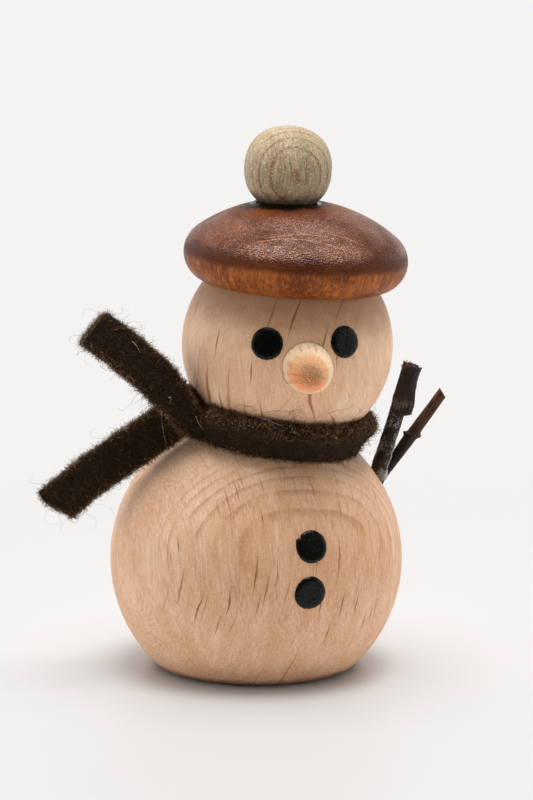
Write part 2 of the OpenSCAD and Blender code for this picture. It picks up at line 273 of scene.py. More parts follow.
class Graph:
    """The node tree of one finish, lamp or world."""

    def __init__(self, tree: bpy.types.NodeTree) -> None:
        """Empties tree and works on it."""
        self.tree = tree
        self.tree.nodes.clear()

    def node(
        self,
        kind: str,
        settings: Optional[Dict[str, object]] = None,
        inputs: Optional[Inputs] = None,
        output: Union[str, int] = 0,
    ) -> Wire:
        """Adds one node.

        Args:
            kind: the node's type.
            settings: its properties, which are set first. stops is a ramp's list of place and colour.
            inputs: the value or wire of each socket, by name or number.
            output: the output to hand back.

        Returns:
            That output as a wire.
        """
        made = self.tree.nodes.new(kind)
        for name, value in (settings or {}).items():
            if name == "stops":
                self._set_stops(made.color_ramp, value)
            else:
                setattr(made, name, value)
        for name, value in (inputs or {}).items():
            if isinstance(value, Wire):
                self.tree.links.new(value.socket, made.inputs[name])
            else:
                made.inputs[name].default_value = value
        return Wire(self, made.outputs[output]) if made.outputs else Wire(self, made.inputs[0])

    @staticmethod
    def _set_stops(ramp: bpy.types.ColorRamp, stops: Sequence[Tuple[float, Colour]]) -> None:
        """Gives a ramp its stops.

        Args:
            ramp: the ramp.
            stops: place and colour of each, in rising order.
        """
        while len(ramp.elements) < len(stops):
            ramp.elements.new(1.0)
        for element, (place, colour) in zip(ramp.elements, stops):
            element.position = place
            element.color = colour

    def math(self, operation: str, *values: Value) -> Wire:
        """Math node of that operation on the values."""
        return self.node("ShaderNodeMath", {"operation": operation}, dict(enumerate(values)))

    def vector(self, operation: str, *values: Value, output: str = "Vector") -> Wire:
        """Vector Math node of that operation on the values."""
        inputs = dict(enumerate(values))
        return self.node("ShaderNodeVectorMath", {"operation": operation}, inputs, output)

    def join(self, x: Value, y: Value, z: Value) -> Wire:
        """Vector of three numbers."""
        return self.node("ShaderNodeCombineXYZ", None, {0: x, 1: y, 2: z})

    def split(self, vector: Wire) -> Tuple[Wire, Wire, Wire]:
        """The three numbers of a vector."""
        x = self.node("ShaderNodeSeparateXYZ", None, {0: vector})
        return x, x.other(1), x.other(2)

    def place(self, at: Matrix) -> Wire:
        """Object coordinates in a frame of the figure, in millimetres.

        Args:
            at: the frame, in millimetres.

        Returns:
            The position as a vector.
        """
        where = self.node("ShaderNodeTexCoord", output="Object")
        inputs = {
            "Vector": where,
            "Location": at.to_translation() * MM,
            "Rotation": at.to_euler("XYZ"),
            "Scale": (MM, MM, MM),
        }
        return self.node("ShaderNodeMapping", {"vector_type": "TEXTURE"}, inputs)

    def noise(
        self, at: Wire, per_mm: Union[float, Sequence[float]], detail: float = 2, rough: float = 0.5
    ) -> Wire:
        """Noise about 0.5.

        Args:
            at: the position, in millimetres.
            per_mm: features to a millimetre, in every direction or along each axis.
            detail: how many finer layers it has.
            rough: how strong those are.

        Returns:
            The noise.
        """
        scale = (per_mm,) * 3 if isinstance(per_mm, float) else per_mm
        stretched = self.vector("MULTIPLY", at, scale)
        inputs = {"Vector": stretched, "Scale": 1.0, "Detail": detail, "Roughness": rough}
        return self.node("ShaderNodeTexNoise", None, inputs)

    def specks(
        self, at: Wire, per_mm: float, size: Tuple[float, float], share: float, channel: int = 0
    ) -> Wire:
        """Round specks, strewn one to a cell of the space.

        Args:
            at: the position, in millimetres.
            per_mm: cells to a millimetre.
            size: a speck's outer and inner radius in cells, between which it fades.
            share: the share of the cells that hold one.
            channel: the part of a cell's chance colour that decides.

        Returns:
            1 in the specks and 0 between them.
        """
        cell = self.node("ShaderNodeTexVoronoi", None, {"Vector": at, "Scale": per_mm})
        return cell.step(*size) * (self.split(cell.other("Color"))[channel] < share)

    def away(self, x: Wire, y: Wire) -> Wire:
        """Distance from the middle of a plane."""
        return (x * x + y * y).math("SQRT")

    def mix(self, amount: Value, first: Value, second: Value) -> Wire:
        """Colour between first and second."""
        inputs = {0: amount, 6: first, 7: second}
        return self.node("ShaderNodeMix", {"data_type": "RGBA"}, inputs, 2)

    def bump(self, height: Wire, depth: float, under: Optional[Wire] = None) -> Wire:
        """Normal of a relief that is depth millimetres from 0 to 1.

        Args:
            height: the relief.
            depth: how deep it is from 0 to 1, in millimetres.
            under: a coarser relief's normal.

        Returns:
            The normal.
        """
        inputs: Inputs = {"Height": height, "Distance": depth * MM, "Strength": 1.0}
        if under is not None:
            inputs["Normal"] = under
        return self.node("ShaderNodeBump", None, inputs)

    def principled(self, inputs: Inputs) -> Wire:
        """Principled shader with those inputs."""
        return self.node("ShaderNodeBsdfPrincipled", None, inputs)


# ---- finishes ----


@dataclass(frozen=True)
class Finish:
    """A material of the figure. Each kind of finish works out its own shader."""

    name: str

    def material(self) -> Material:
        """Builds the finish.

        Returns:
            The material.
        """
        made = bpy.data.materials.new(self.name)
        made.use_nodes = True
        graph = Graph(made.node_tree)
        graph.node("ShaderNodeOutputMaterial", None, {"Surface": self.shader(graph)})
        return made

    def shader(self, graph: Graph) -> Wire:
        """Works out the shader.

        Args:
            graph: the material's graph, which its nodes go into.

        Returns:
            The shader.
        """
        raise NotImplementedError


@dataclass(frozen=True)
class TurnedWood(Finish):
    """Sanded wood cut through its growth rings, with short dark rays and fine pores.

    grain is the wood's own frame: X runs across, -Y out through the growth rings and Z along the fibres.
    reach is how far the surface lies out along -Y, and bend how far the fibres bow towards -X away from the
    height bend_at.
    """

    grain: Matrix
    reach: float
    pale: Colour = srgb(233, 195, 165)
    tan: Colour = srgb(197, 145, 105)
    honey: Colour = srgb(213, 166, 123)
    ring: Colour = srgb(164, 110, 66)
    ray: Colour = srgb(146, 88, 40)
    spark: Colour = srgb(250, 226, 200)
    ring_gap: float = 0.75
    ring_shift: float = 0.1
    ring_strength: float = 0.5
    ring_start: float = 0.5
    ring_from: float = -6.0
    ring_full: float = 3.0
    ring_curve: float = -0.02
    ring_reach: float = 6.5
    wander: float = 0.5
    bend: float = 0.0085
    bend_at: float = 5.0
    ray_cell: Tuple[float, float] = (0.75, 14.5)
    ray_share: float = 0.64
    ray_size: Tuple[float, float] = (0.1, 0.22)
    ray_strength: float = 1.0
    ray_fade: Tuple[float, float] = (12.0, 3.0)
    dash_cell: Tuple[float, float] = (0.36, 2.6)
    dash_share: float = 0.5
    dash_size: Tuple[float, float] = (0.1, 0.22)
    streak: float = 0.75
    mottle: float = 0.4
    speck: float = 0.32
    rough: float = 0.52
    relief: float = 0.02

    def rings(self, graph: Graph, at: Wire) -> Tuple[Wire, Wire]:
        """Growth rings, whose dark lines rise slowly and end sharply.

        Args:
            graph: the finish's graph.
            at: the position in the wood's own frame.

        Returns:
            The lines, and the depth under the bark.
        """
        across, inward, along = graph.split(at)
        drift = (graph.noise(at, (0.11, 0.11, 0.06)) - 0.5) * self.wander
        depth = inward + self.reach + across * across * self.ring_curve + drift
        tooth = (depth / self.ring_gap + self.ring_shift).fract()
        line = tooth.step(self.ring_start, 0.92) - tooth.step(0.93, 1.0)
        uneven = graph.noise(at, (0.3, 0.3, 0.12)).step(0.2, 0.6)
        near = depth.step(self.ring_reach, self.ring_reach * 0.4)
        return line * uneven * near * along.step(self.ring_from, self.ring_full), depth

    def dashes(
        self, graph: Graph, at: Wire, cell: Tuple[float, float], share: float, sizes: Tuple[float, float]
    ) -> Wire:
        """Short spindles along the fibres.

        Args:
            graph: the finish's graph.
            at: the position in the wood's own frame.
            cell: width and length of the cells that hold one each.
            share: the share of the cells that aren't empty.
            sizes: the least reach of a spindle in its cell, and how much may be added.

        Returns:
            1 in the spindles and 0 between them.
        """
        across, inward, along = graph.split(at)
        sway = (graph.noise(at, (0.4, 0.1, 0.3)) - 0.5) * 0.7
        bowed = across + (along - self.bend_at) * (along - self.bend_at) * self.bend + sway
        flat = graph.join(bowed / cell[0], along / cell[1], 0.0)
        settings = {"distance": "MANHATTAN", "voronoi_dimensions": "2D"}
        distance = graph.node("ShaderNodeTexVoronoi", settings, {"Vector": flat, "Scale": 1.0})
        chance, size, shade = graph.split(distance.other("Color"))
        reach = sizes[0] + size * size * sizes[1]
        facing = inward * inward / (across * across + inward * inward + 0.01)
        spindle = distance.step(reach, reach * 0.4) * (chance < share)
        return spindle * (0.4 + shade * 0.6) * facing.step(0.05, 0.5)

    def shader(self, graph: Graph) -> Wire:
        """Works out the shader.

        Args:
            graph: the material's graph.

        Returns:
            The shader.
        """
        at = graph.place(self.grain)
        streak = graph.noise(at, (6.0, 2.5, 0.4), detail=3, rough=0.65)
        mottle = graph.noise(at, (0.35, 0.25, 0.1), detail=3)
        warm = graph.noise(at, (0.8, 0.4, 0.06))
        speck = graph.noise(at, (7.5, 7.5, 4.5), rough=0.6)
        rings, depth = self.rings(graph, at)
        rays = self.dashes(graph, at, self.ray_cell, self.ray_share, self.ray_size)
        pores = self.dashes(graph, at, self.dash_cell, self.dash_share, self.dash_size)
        outer = depth.step(3.5, 0.0) * 0.3
        blend = (mottle - 0.5) * self.mottle * 3 + (streak - 0.5) * self.streak * 3 + outer + 0.3
        colour = graph.mix(blend.clamp(), self.pale, self.tan)
        colour = graph.mix(warm.step(0.42, 0.62) * 0.5, colour, self.honey)
        colour = graph.mix((rings * self.ring_strength).clamp(), colour, self.ring)
        colour = graph.mix(speck.step(0.52, 0.72) * self.speck, colour, self.spark)
        colour = graph.mix(speck.step(0.46, 0.28) * self.speck * 0.6, colour, self.ring)
        colour = graph.mix(pores * 0.4, colour, self.ring)
        rays = rays * (graph.split(at)[2].step(*self.ray_fade) * 0.75 + 0.25)
        colour = graph.mix(rays * self.ray_strength, colour, self.ray)
        colour = self.age(graph, at, colour)
        height = streak * 0.8 + speck - rays * 0.2
        return graph.principled({
            "Base Color": colour,
            "Roughness": (self.rough + (streak - 0.5) * 0.2).clamp(),
            "Normal": graph.bump(height, self.relief),
            "Specular IOR Level": 0.2,
        })

    def age(self, graph: Graph, at: Wire, colour: Wire) -> Wire:
        """Colour of the wood with its aged marks and painted shade; plain wood stays as it is.

        Args:
            graph: the finish's graph.
            at: the position in the wood's own frame.
            colour: the fresh wood's colour.

        Returns:
            The wood's colour with those marks and painted shade.
        """
        return colour


@dataclass(frozen=True)
class FootedWood(TurnedWood):
    """Turned wood with painted shade round the foot that it stands on."""

    foot_high: float = 1.3
    # painted shade of the foot
    contact_shade: Colour = srgb(84, 50, 28)

    def age(self, graph: Graph, at: Wire, colour: Wire) -> Wire:
        """Painted shade: a dark rim round the foot, where the ball meets the floor.

        Args:
            graph: the material's graph.
            at: position in the wood, in millimetres.
            colour: colour of the fresh wood.

        Returns:
            The colour with the painted shade.
        """
        uneven = (graph.noise(at, 0.8) - 0.5) * 0.8
        high = graph.split(graph.place(Matrix()))[2] + uneven
        # painted shade: the wood darkens within foot_high of the floor
        return graph.mix(high.step(self.foot_high, self.foot_high * 0.2) * 0.8, colour, self.contact_shade)


@dataclass(frozen=True)
class CrownedWood(TurnedWood):
    """Turned wood darkened below the hat glued on it, by stain that has crept down and by painted shade of
    the hat.
    """

    stain_and_shade: Colour = srgb(134, 84, 46)
    stain_and_shade_from: float = -7.0
    stain_and_shade_full: float = -1.0

    def age(self, graph: Graph, at: Wire, colour: Wire) -> Wire:
        """Brown stain and painted shade of the hat, which fade out below it.

        Args:
            graph: the material's graph.
            at: position in the wood, in millimetres.
            colour: colour of the fresh wood.

        Returns:
            The colour of the stained and shaded wood.
        """
        runs = graph.noise(at, (0.7, 0.7, 0.15), detail=3) - 0.5
        down = graph.split(graph.place(FIGURE.crown()))[2] + runs * 2.5
        # partly stain, partly painted shade of the hat over the head's top
        return graph.mix(down.step(self.stain_and_shade_from, self.stain_and_shade_full) * 0.6, colour, self.stain_and_shade)


@dataclass(frozen=True)
class BobbleWood(TurnedWood):
    """Greyed wood with strong brown growth lines, and painted shade where it meets the hat."""

    foot: float = -4.6
    moss: Colour = srgb(150, 146, 112)
    contact_shade: Colour = srgb(52, 38, 24)

    def age(self, graph: Graph, at: Wire, colour: Wire) -> Wire:
        """Greenish grey patches, and painted shade round the foot.

        Args:
            graph: the material's graph.
            at: position in the wood, in millimetres.
            colour: colour of the fresh wood.

        Returns:
            The colour of the aged wood with its painted shade.
        """
        patch = graph.noise(at, (0.35, 0.35, 0.2), detail=3).step(0.45, 0.7)
        greyed = graph.mix(patch * 0.45, colour, self.moss)
        along = graph.split(at)[2]
        low = along + (graph.noise(at, (1.5, 1.5, 0.3)) - 0.5) * 1.2
        # painted shade: darker towards the foot, where the bobble meets the hat
        return graph.mix(low.step(self.foot + 1.9, self.foot + 0.3) * 0.8, greyed, self.contact_shade)


@dataclass(frozen=True)
class HatStain(Finish):
    """Mahogany stain under wrinkled varnish, with scratches, dust and a dark belt of painted shade where the
    hat is widest.

    seat is the hat's own frame, and bobble the place of the bobble's middle in it. Each scratch lies in an
    upright plane that faces a direction round +Z, at a distance from the figure's axis, and runs between two
    places in it. The belt of painted shade fades in between its first two heights and out between its last
    two.
    """

    seat: Matrix
    bobble: Vector
    deep: Colour = srgb(62, 20, 4)
    warm: Colour = srgb(142, 76, 30)
    bright: Colour = srgb(200, 116, 56)
    pale: Colour = srgb(226, 166, 112)
    # painted shade colour round the bobble's foot
    contact_shade: Colour = srgb(10, 5, 3)
    shade_belt: Tuple[float, float, float, float] = (5.2, 4.5, 3.6, 2.8)
    scratches: Tuple[Tuple[float, float, float, float], ...] = (
        (-112.0, 11.99, -0.8, 10.2), (-105.0, 11.8, 0.0, 6.3), (-105.0, 11.25, 6.6, 10.5),
    )

    def marks(self, graph: Graph, at: Wire) -> Wire:
        """Thin broken scratches on the front of the dome.

        Args:
            graph: the finish's graph.
            at: the position in the hat's own frame.

        Returns:
            1 in the scratches and 0 between them.
        """
        world = graph.place(Matrix())
        broken = graph.noise(at, 0.9, detail=3).step(0.32, 0.48)
        total: Optional[Wire] = None
        for facing, distance, first, last in self.scratches:
            way = flat_dir(facing)
            out = graph.vector("DOT_PRODUCT", world, tuple(way), output="Value")
            aside = graph.vector("DOT_PRODUCT", world, (-way.y, way.x, 0.0), output="Value")
            line = abs(out - distance).step(0.065, 0.02) * graph.split(at)[2].step(3.3, 3.5)
            mark = line * aside.step(first, first + 1.2) * aside.step(last, last - 1.2) * broken
            total = mark if total is None else total + mark
        return total

    def shader(self, graph: Graph) -> Wire:
        """Works out the shader.

        Args:
            graph: the material's graph.

        Returns:
            The shader.
        """
        at = graph.place(self.seat)
        x, y, z = graph.split(at)
        out = graph.away(x, y)
        mottle = graph.noise(at, (0.16, 0.16, 0.3), detail=4, rough=0.55)
        lines = graph.noise(at, (4.5, 4.5, 0.35), detail=3, rough=0.6)
        speck = graph.noise(at, (4.5, 4.5, 4.0), detail=3, rough=0.7)
        sway = graph.noise(at, 0.7, detail=3, rough=0.6)
        wrinkle = ((out - z) * 17.0 + sway * 40.0).math("SINE") * 0.5 + 0.5
        grit = graph.specks(at, 1.6, (0.09, 0.04), 0.25)
        rim = z.step(3.4, 2.6)
        dome = 1.0 - rim
        blend = (mottle - 0.5) * 1.9 + (lines - 0.5) * (rim + 0.5) + (wrinkle - 0.5) * dome * 0.25
        colour = graph.mix((blend + 0.5 + rim * 0.25).clamp(), self.deep, self.warm)
        stripes = graph.noise(at, (1.6, 1.6, 0.3), detail=3, rough=0.6)
        bright = (lines * 0.6 + mottle * 0.5 + (stripes - 0.5)).step(0.45, 0.9)
        colour = graph.mix(rim * bright * 0.7, colour, self.bright)
        colour = graph.mix(speck.step(0.52, 0.3) * (dome * 0.45 + 0.15), colour, self.deep)
        # painted shade: a dark belt where the hat is widest
        high, full, low, end = self.shade_belt
        shade_belt = (z + (mottle - 0.5) * 2.2).step(high, full) * (z + (lines - 0.5) * 1.4).step(end, low)
        colour = graph.mix(shade_belt * 0.62, colour, self.deep)
        # painted shade: the dome darker on one side
        shaded = (x * 0.93 - y * 0.37 + (mottle - 0.5) * 8.0).step(3.0, 12.0) * z.step(3.6, 5.0)
        colour = graph.mix(shaded * 0.45, colour, self.deep)
        marks = self.marks(graph, at)
        fine = graph.noise(at, 9.0, rough=0.6)
        colour = graph.mix((marks * 0.55 + grit * 0.45).clamp(), colour, self.pale)
        colour = graph.mix(fine.step(0.6, 0.72) * 0.3, colour, self.bright)
        round_bobble = graph.away(x - self.bobble.x, y - self.bobble.y)
        round_bobble = round_bobble + (sway - 0.5) * 3.4 + (lines - 0.5) * 0.8
        # painted shade: a dark ring round the bobble's foot, where the bobble meets the hat
        contact_shade = round_bobble.step(5.5, 4.3) * z.step(6.0, 7.0)
        colour = graph.mix(contact_shade * 0.92, colour, self.contact_shade)
        rubbed = (mottle - 0.5 + (fine - 0.5) * 0.8).step(-0.25, 0.2)
        sheen = z.step(3.9, 5.0) * round_bobble.step(5.8, 8.6) * rubbed
        relief = graph.bump(speck + wrinkle * dome * 0.4, 0.09)
        stain = graph.principled({
            "Base Color": colour,
            "Roughness": (0.4 + (speck - 0.5) * 0.4).clamp(),
            "Normal": graph.bump(marks + grit - lines * 0.25, 0.03, relief),
            "Specular IOR Level": 0.12,
        })
        varnish = graph.principled({
            "Base Color": colour,
            "Roughness": 0.26,
            "Normal": relief,
            "Specular IOR Level": 0.96,
        })
        return graph.node("ShaderNodeMixShader", None, {0: sheen * 0.95 + 0.05, 1: stain, 2: varnish})


@dataclass(frozen=True)
class NoseGrain(Finish):
    """Pale end grain: an orange tint rubbed off the rim, over a brown fibrous middle.

    peg is the nose's frame, with +Z out along it.
    """

    peg: Matrix
    radius: float = 2.65
    cream: Colour = srgb(244, 214, 176)
    orange: Colour = srgb(250, 158, 108)
    tan: Colour = srgb(234, 176, 126)
    brown: Colour = srgb(160, 98, 54)

    def shader(self, graph: Graph) -> Wire:
        """Works out the shader.

        Args:
            graph: the material's graph.

        Returns:
            The shader.
        """
        at = graph.place(self.peg)
        x, y, z = graph.split(at)
        out = graph.away(x, y) / self.radius
        angle = graph.math("ARCTAN2", y, x)
        turned = graph.join(angle * 6.0, out * 1.5, z * 0.2)
        spokes = graph.noise(turned, 1.0, detail=3, rough=0.65)
        grit = graph.noise(at, 5.5, detail=3, rough=0.65)
        patch = graph.noise(at, 0.6)
        off = graph.away(x + self.radius * 0.14, y + self.radius * 0.02) / self.radius
        off = off + (spokes - 0.5) * 0.25 + (patch - 0.5) * 0.2
        side = (x * 0.6 + y) / self.radius + (patch - 0.5) * 0.8
        colour = graph.mix(side.step(0.05, -0.5), self.tan, self.orange)
        colour = graph.mix(off.step(0.72, 0.25) * grit.step(0.36, 0.52) * 0.9, colour, self.brown)
        colour = graph.mix(off.step(0.74, 0.92), colour, self.cream)
        colour = graph.mix(grit.step(0.55, 0.64) * 0.85, colour, self.cream)
        colour = graph.mix(spokes.step(0.42, 0.3) * 0.55, colour, self.brown)
        return graph.principled({
            "Base Color": colour,
            "Roughness": 0.62,
            "Normal": graph.bump(spokes + grit * 1.5, 0.11),
            "Specular IOR Level": 0.35,
        })


@dataclass(frozen=True)
class BlackPaint(Finish):
    """Thick gloss black paint with a little dust dried into it."""

    black: Colour = srgb(10, 10, 9)
    dust: Colour = srgb(120, 122, 118)

    def shader(self, graph: Graph) -> Wire:
        """Works out the shader.

        Args:
            graph: the material's graph.

        Returns:
            The shader.
        """
        at = graph.place(Matrix())
        grit = graph.specks(at, 2.4, (0.13, 0.05), 0.4)
        wave = graph.noise(at, 1.1, detail=3, rough=0.6)
        skin = graph.noise(at, 6.0)
        return graph.principled({
            "Base Color": graph.mix(grit * 0.7, self.black, self.dust),
            "Roughness": 0.14 + wave.step(0.4, 0.8) * 0.2 + grit * 0.3,
            "Normal": graph.bump(wave * 3.0 + skin * 0.5 + grit * 1.2, 0.035),
            "Specular IOR Level": 0.3,
        })


@dataclass(frozen=True)
class Felt(Finish):
    """Pressed wool, nearly black, with paler cut edges that the cut attribute marks and painted shade in its
    hollows.
    """

    face: Colour = srgb(38, 26, 15)
    edge: Colour = srgb(34, 24, 14)
    hollow_shade: Colour = srgb(9, 6, 4)

    def shader(self, graph: Graph) -> Wire:
        """Works out the shader.

        Args:
            graph: the material's graph.

        Returns:
            The shader.
        """
        at = graph.place(Matrix())
        cut = graph.node("ShaderNodeAttribute", {"attribute_name": "cut"}, output="Fac")
        clump = graph.noise(at, 1.4, detail=3, rough=0.6)
        grain = graph.noise(at, 5.0, detail=3, rough=0.7)
        colour = graph.mix((cut * 0.8 + (clump - 0.5) * 0.8).clamp(), self.face, self.edge)
        # painted shade: darker in the low spots of the relief
        colour = graph.mix(grain.step(0.55, 0.35) * 0.8, colour, self.hollow_shade)
        return graph.principled({
            "Base Color": colour,
            "Roughness": 0.95,
            "Normal": graph.bump(grain + clump * 0.5, 0.09),
            "Specular IOR Level": 0.15,
            "Sheen Weight": 0.15,
            "Sheen Roughness": 0.5,
            "Sheen Tint": srgb(190, 160, 110),
        })


@dataclass(frozen=True)
class Wool(Finish):
    """Loose fibres, whose tone attribute runs from the felt's dark brown to bleached hair."""

    dark: Colour = srgb(31, 20, 11)
    brown: Colour = srgb(98, 67, 38)
    straw: Colour = srgb(204, 168, 108)
    white: Colour = srgb(232, 224, 210)

    def shader(self, graph: Graph) -> Wire:
        """Works out the shader.

        Args:
            graph: the material's graph.

        Returns:
            The shader.
        """
        tone = graph.node("ShaderNodeAttribute", {"attribute_name": "tone"}, output="Fac")
        stops = [(0.0, self.dark), (0.4, self.brown), (0.8, self.straw), (1.0, self.white)]
        return graph.principled({
            "Base Color": graph.node("ShaderNodeValToRGB", {"stops": stops}, {"Fac": tone}),
            "Roughness": 0.6,
            "Specular IOR Level": 0.3,
        })


@dataclass(frozen=True)
class Bark(Finish):
    """Twig bark with fine cracks along it and grey lichen on its lower part.

    stem is the twig's frame, with +Z along it.
    """

    stem: Matrix
    dark: Colour = srgb(24, 15, 11)
    brown: Colour = srgb(60, 38, 27)
    upper: Colour = srgb(54, 34, 24)
    upper_from: float = 6.4
    lichen: Colour = srgb(150, 140, 130)
    lichen_share: float = 0.53
    lichen_top: float = 9.3

    def shader(self, graph: Graph) -> Wire:
        """Works out the shader.

        Args:
            graph: the material's graph.

        Returns:
            The shader.
        """
        at = graph.place(self.stem)
        along = graph.split(at)[2]
        crack = graph.noise(at, (6.0, 6.0, 0.6), detail=4, rough=0.6)
        patch = graph.noise(at, (0.8, 0.8, 0.4), detail=3)
        grain = graph.noise(at, (7.0, 7.0, 5.0))
        tone = graph.mix(along.step(self.upper_from - 0.2, self.upper_from + 0.4), self.brown, self.upper)
        colour = graph.mix(((crack - 0.5) * 2.4 + (patch - 0.5) * 1.6 + 0.4).clamp(), self.dark, tone)
        grown = graph.noise(at, (0.75, 0.75, 0.5), detail=3, rough=0.6)
        height = along.step(self.lichen_top + 1.5, self.lichen_top - 1.5)
        cover = (grown + (grain - 0.5) * 0.4).step(1.02 - self.lichen_share, 1.12 - self.lichen_share)
        colour = graph.mix(cover * height * (grain * 0.7 + 0.25), colour, self.lichen)
        spot = graph.specks(at, 1.3, (0.16, 0.07), 0.35, channel=1)
        colour = graph.mix(spot * 0.6, colour, self.lichen)
        return graph.principled({
            "Base Color": colour,
            "Roughness": 0.62,
            "Normal": graph.bump(crack + cover * height * 0.6 + spot * 0.5 + patch * 1.5, 0.08),
            "Specular IOR Level": 0.35,
        })


@dataclass(frozen=True)
class TornWood(Finish):
    """Bare inner wood of a torn twig."""

    pink: Colour = srgb(176, 128, 112)
    brown: Colour = srgb(84, 50, 38)

    def shader(self, graph: Graph) -> Wire:
        """Works out the shader.

        Args:
            graph: the material's graph.

        Returns:
            The shader.
        """
        at = graph.place(Matrix())
        patch = graph.noise(at, (2.4, 2.4, 1.2), detail=3, rough=0.6)
        return graph.principled({
            "Base Color": graph.mix(patch.step(0.38, 0.62), self.brown, self.pink),
            "Roughness": 0.75,
            "Normal": graph.bump(patch, 0.05),
        })


@dataclass(frozen=True)
class DriedGlue(Finish):
    """Cloudy grey glue."""

    grey: Colour = srgb(150, 142, 134)
    pale: Colour = srgb(214, 204, 192)

    def shader(self, graph: Graph) -> Wire:
        """Works out the shader.

        Args:
            graph: the material's graph.

        Returns:
            The shader.
        """
        at = graph.place(Matrix())
        cloud = graph.noise(at, 1.6, detail=3, rough=0.6)
        return graph.principled({
            "Base Color": graph.mix(cloud.step(0.35, 0.65), self.grey, self.pale),
            "Roughness": 0.35,
            "Normal": graph.bump(cloud, 0.05),
        })


# ---- making pieces ----


def ease(value: float) -> float:
    """Smooth step of a value from 0 to 1."""
    held = min(max(value, 0.0), 1.0)
    return held * held * (3 - 2 * held)


def swell(run: float, middle: float, width: float) -> float:
    """Bump of height 1 about middle."""
    return math.exp(-(((run - middle) / width) ** 2))


def rough(at: Vector, per_mm: float, seed: float = 0.0) -> float:
    """Noise from -1 to 1 with that many features to a millimetre."""
    return noise.noise(at * per_mm + Vector((seed, seed, seed)))


def relief(at: Vector, *layers: Triple) -> float:
    """Layers of noise on one another, each with its height, features to a millimetre and seed."""
    return sum(high * rough(at, per_mm, seed) for high, per_mm, seed in layers)


def spots(grid: Shape) -> Iterator[Tuple[bmesh.types.BMVert, float, float]]:
    """Rolls a grid of side 1 up.

    Args:
        grid: the flat grid, with its middle at the origin.

    Yields:
        Each vertex with its turn and its run from 0 to 1, of which a full turn is back at 0.
    """
    for vertex in grid.verts:
        run, turn = vertex.co.x + 0.5, vertex.co.y + 0.5
        yield vertex, turn if turn < 1 - SAME_SPOT else 0.0, min(max(run, 0.0), 1.0)


def joined(shape: Shape) -> Shape:
    """Merges the doubled vertices of a shape's seams and turns its faces outwards.

    Args:
        shape: the shape, which is changed.

    Returns:
        The same shape.
    """
    bmesh.ops.remove_doubles(shape, verts=shape.verts[:], dist=SAME_SPOT)
    bmesh.ops.recalc_face_normals(shape, faces=shape.faces[:])
    return shape


def rolled_tube(around: int, along: int, place: Callable[[float, float], Vector]) -> Shape:
    """Rolls a grid into a tube and closes it at both ends.

    Args:
        around: faces round the tube.
        along: faces from end to end.
        place: point for a turn and a run from 0 to 1, with one point for every turn at runs 0 and 1.

    Returns:
        The tube, in millimetres.
    """
    shape = bmesh.new()
    bmesh.ops.create_grid(shape, x_segments=along, y_segments=around, size=0.5)
    for vertex, turn, run in spots(shape):
        vertex.co = place(turn, run)
    return joined(shape)


def curve(share: Union[float, np.ndarray], start: Point, leave: Point, reach: Point, end: Point) -> Point:
    """Smooth curve.

    Args:
        share: how much of it has been run, from 0 to 1.
        start, end: its ends.
        leave, reach: the points that it leaves towards and comes in from.

    Returns:
        The point there.
    """
    left = 1 - share
    near = left**3 * start + 3 * left * left * share * leave
    return near + 3 * left * share * share * reach + share**3 * end


def spun(profile: Sequence[Tuple[float, float]], steps: int) -> Shape:
    """Spins a profile once round +Z.

    Args:
        profile: distances from the axis and heights, from one pole to the other.
        steps: faces round the piece.

    Returns:
        The closed shape.
    """
    shape = bmesh.new()
    made = [shape.verts.new((out, 0, up)) for out, up in profile]
    edges = [shape.edges.new(pair) for pair in zip(made, made[1:])]
    bmesh.ops.spin(
        shape,
        geom=made + edges,
        cent=(0, 0, 0),
        axis=(0, 0, 1),
        angle=2 * math.pi,
        steps=steps,
        use_merge=True,
    )
    return joined(shape)


def finished(name: str, shape: Shape, finish: Material) -> bpy.types.Object:
    """Makes a shape a piece of the figure.

    Args:
        name: the piece's name.
        shape: its mesh, in millimetres and in the figure's frame.
        finish: its material.

    Returns:
        The piece.
    """
    bmesh.ops.scale(shape, vec=(MM, MM, MM), verts=shape.verts[:])
    for face in shape.faces:
        face.smooth = True
    mesh = bpy.data.meshes.new(name)
    shape.to_mesh(mesh)
    shape.free()
    return settled(name, mesh, finish)


def settled(name: str, mesh: bpy.types.Mesh, finish: Material) -> bpy.types.Object:
    """Puts a mesh on the figure's body and reports it.

    Args:
        name: the piece's name.
        mesh: its mesh, in metres and in the figure's frame.
        finish: its material.

    Returns:
        The piece.
    """
    mesh.materials.append(finish)
    piece = bpy.data.objects.new(name, mesh)
    bpy.context.scene.collection.objects.link(piece)
    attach(piece, BODY)
    log.info("%s: %d faces", name, len(mesh.polygons))
    return piece


def dress(node: str, finish: Material) -> None:
    """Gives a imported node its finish.

    Args:
        node: the node's name.
        finish: its material.
    """
    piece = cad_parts[node]
    for place in piece.material_slots:
        place.material = finish
    log.info("%s: dressed with %s", node, finish.name)


# ---- loose fibres ----


def unit_rows(rows: np.ndarray) -> np.ndarray:
    """Each row made one long."""
    return rows / (np.linalg.norm(rows, axis=-1, keepdims=True) + 1e-9)


def round_rows(angles: np.ndarray, radii: np.ndarray, heights: np.ndarray) -> np.ndarray:
    """Points round +Z, from their angles in radians, radii and heights."""
    return np.stack([np.cos(angles) * radii, np.sin(angles) * radii, heights], axis=1)


def turned_rows(rows: np.ndarray, at: Matrix) -> np.ndarray:
    """Directions in a frame as directions in the figure's frame."""
    return rows @ np.array(at)[:3, :3].T


def placed_rows(rows: np.ndarray, at: Matrix) -> np.ndarray:
    """Points in a frame as points in the figure's frame."""
    return turned_rows(rows, at) + np.array(at)[:3, 3]


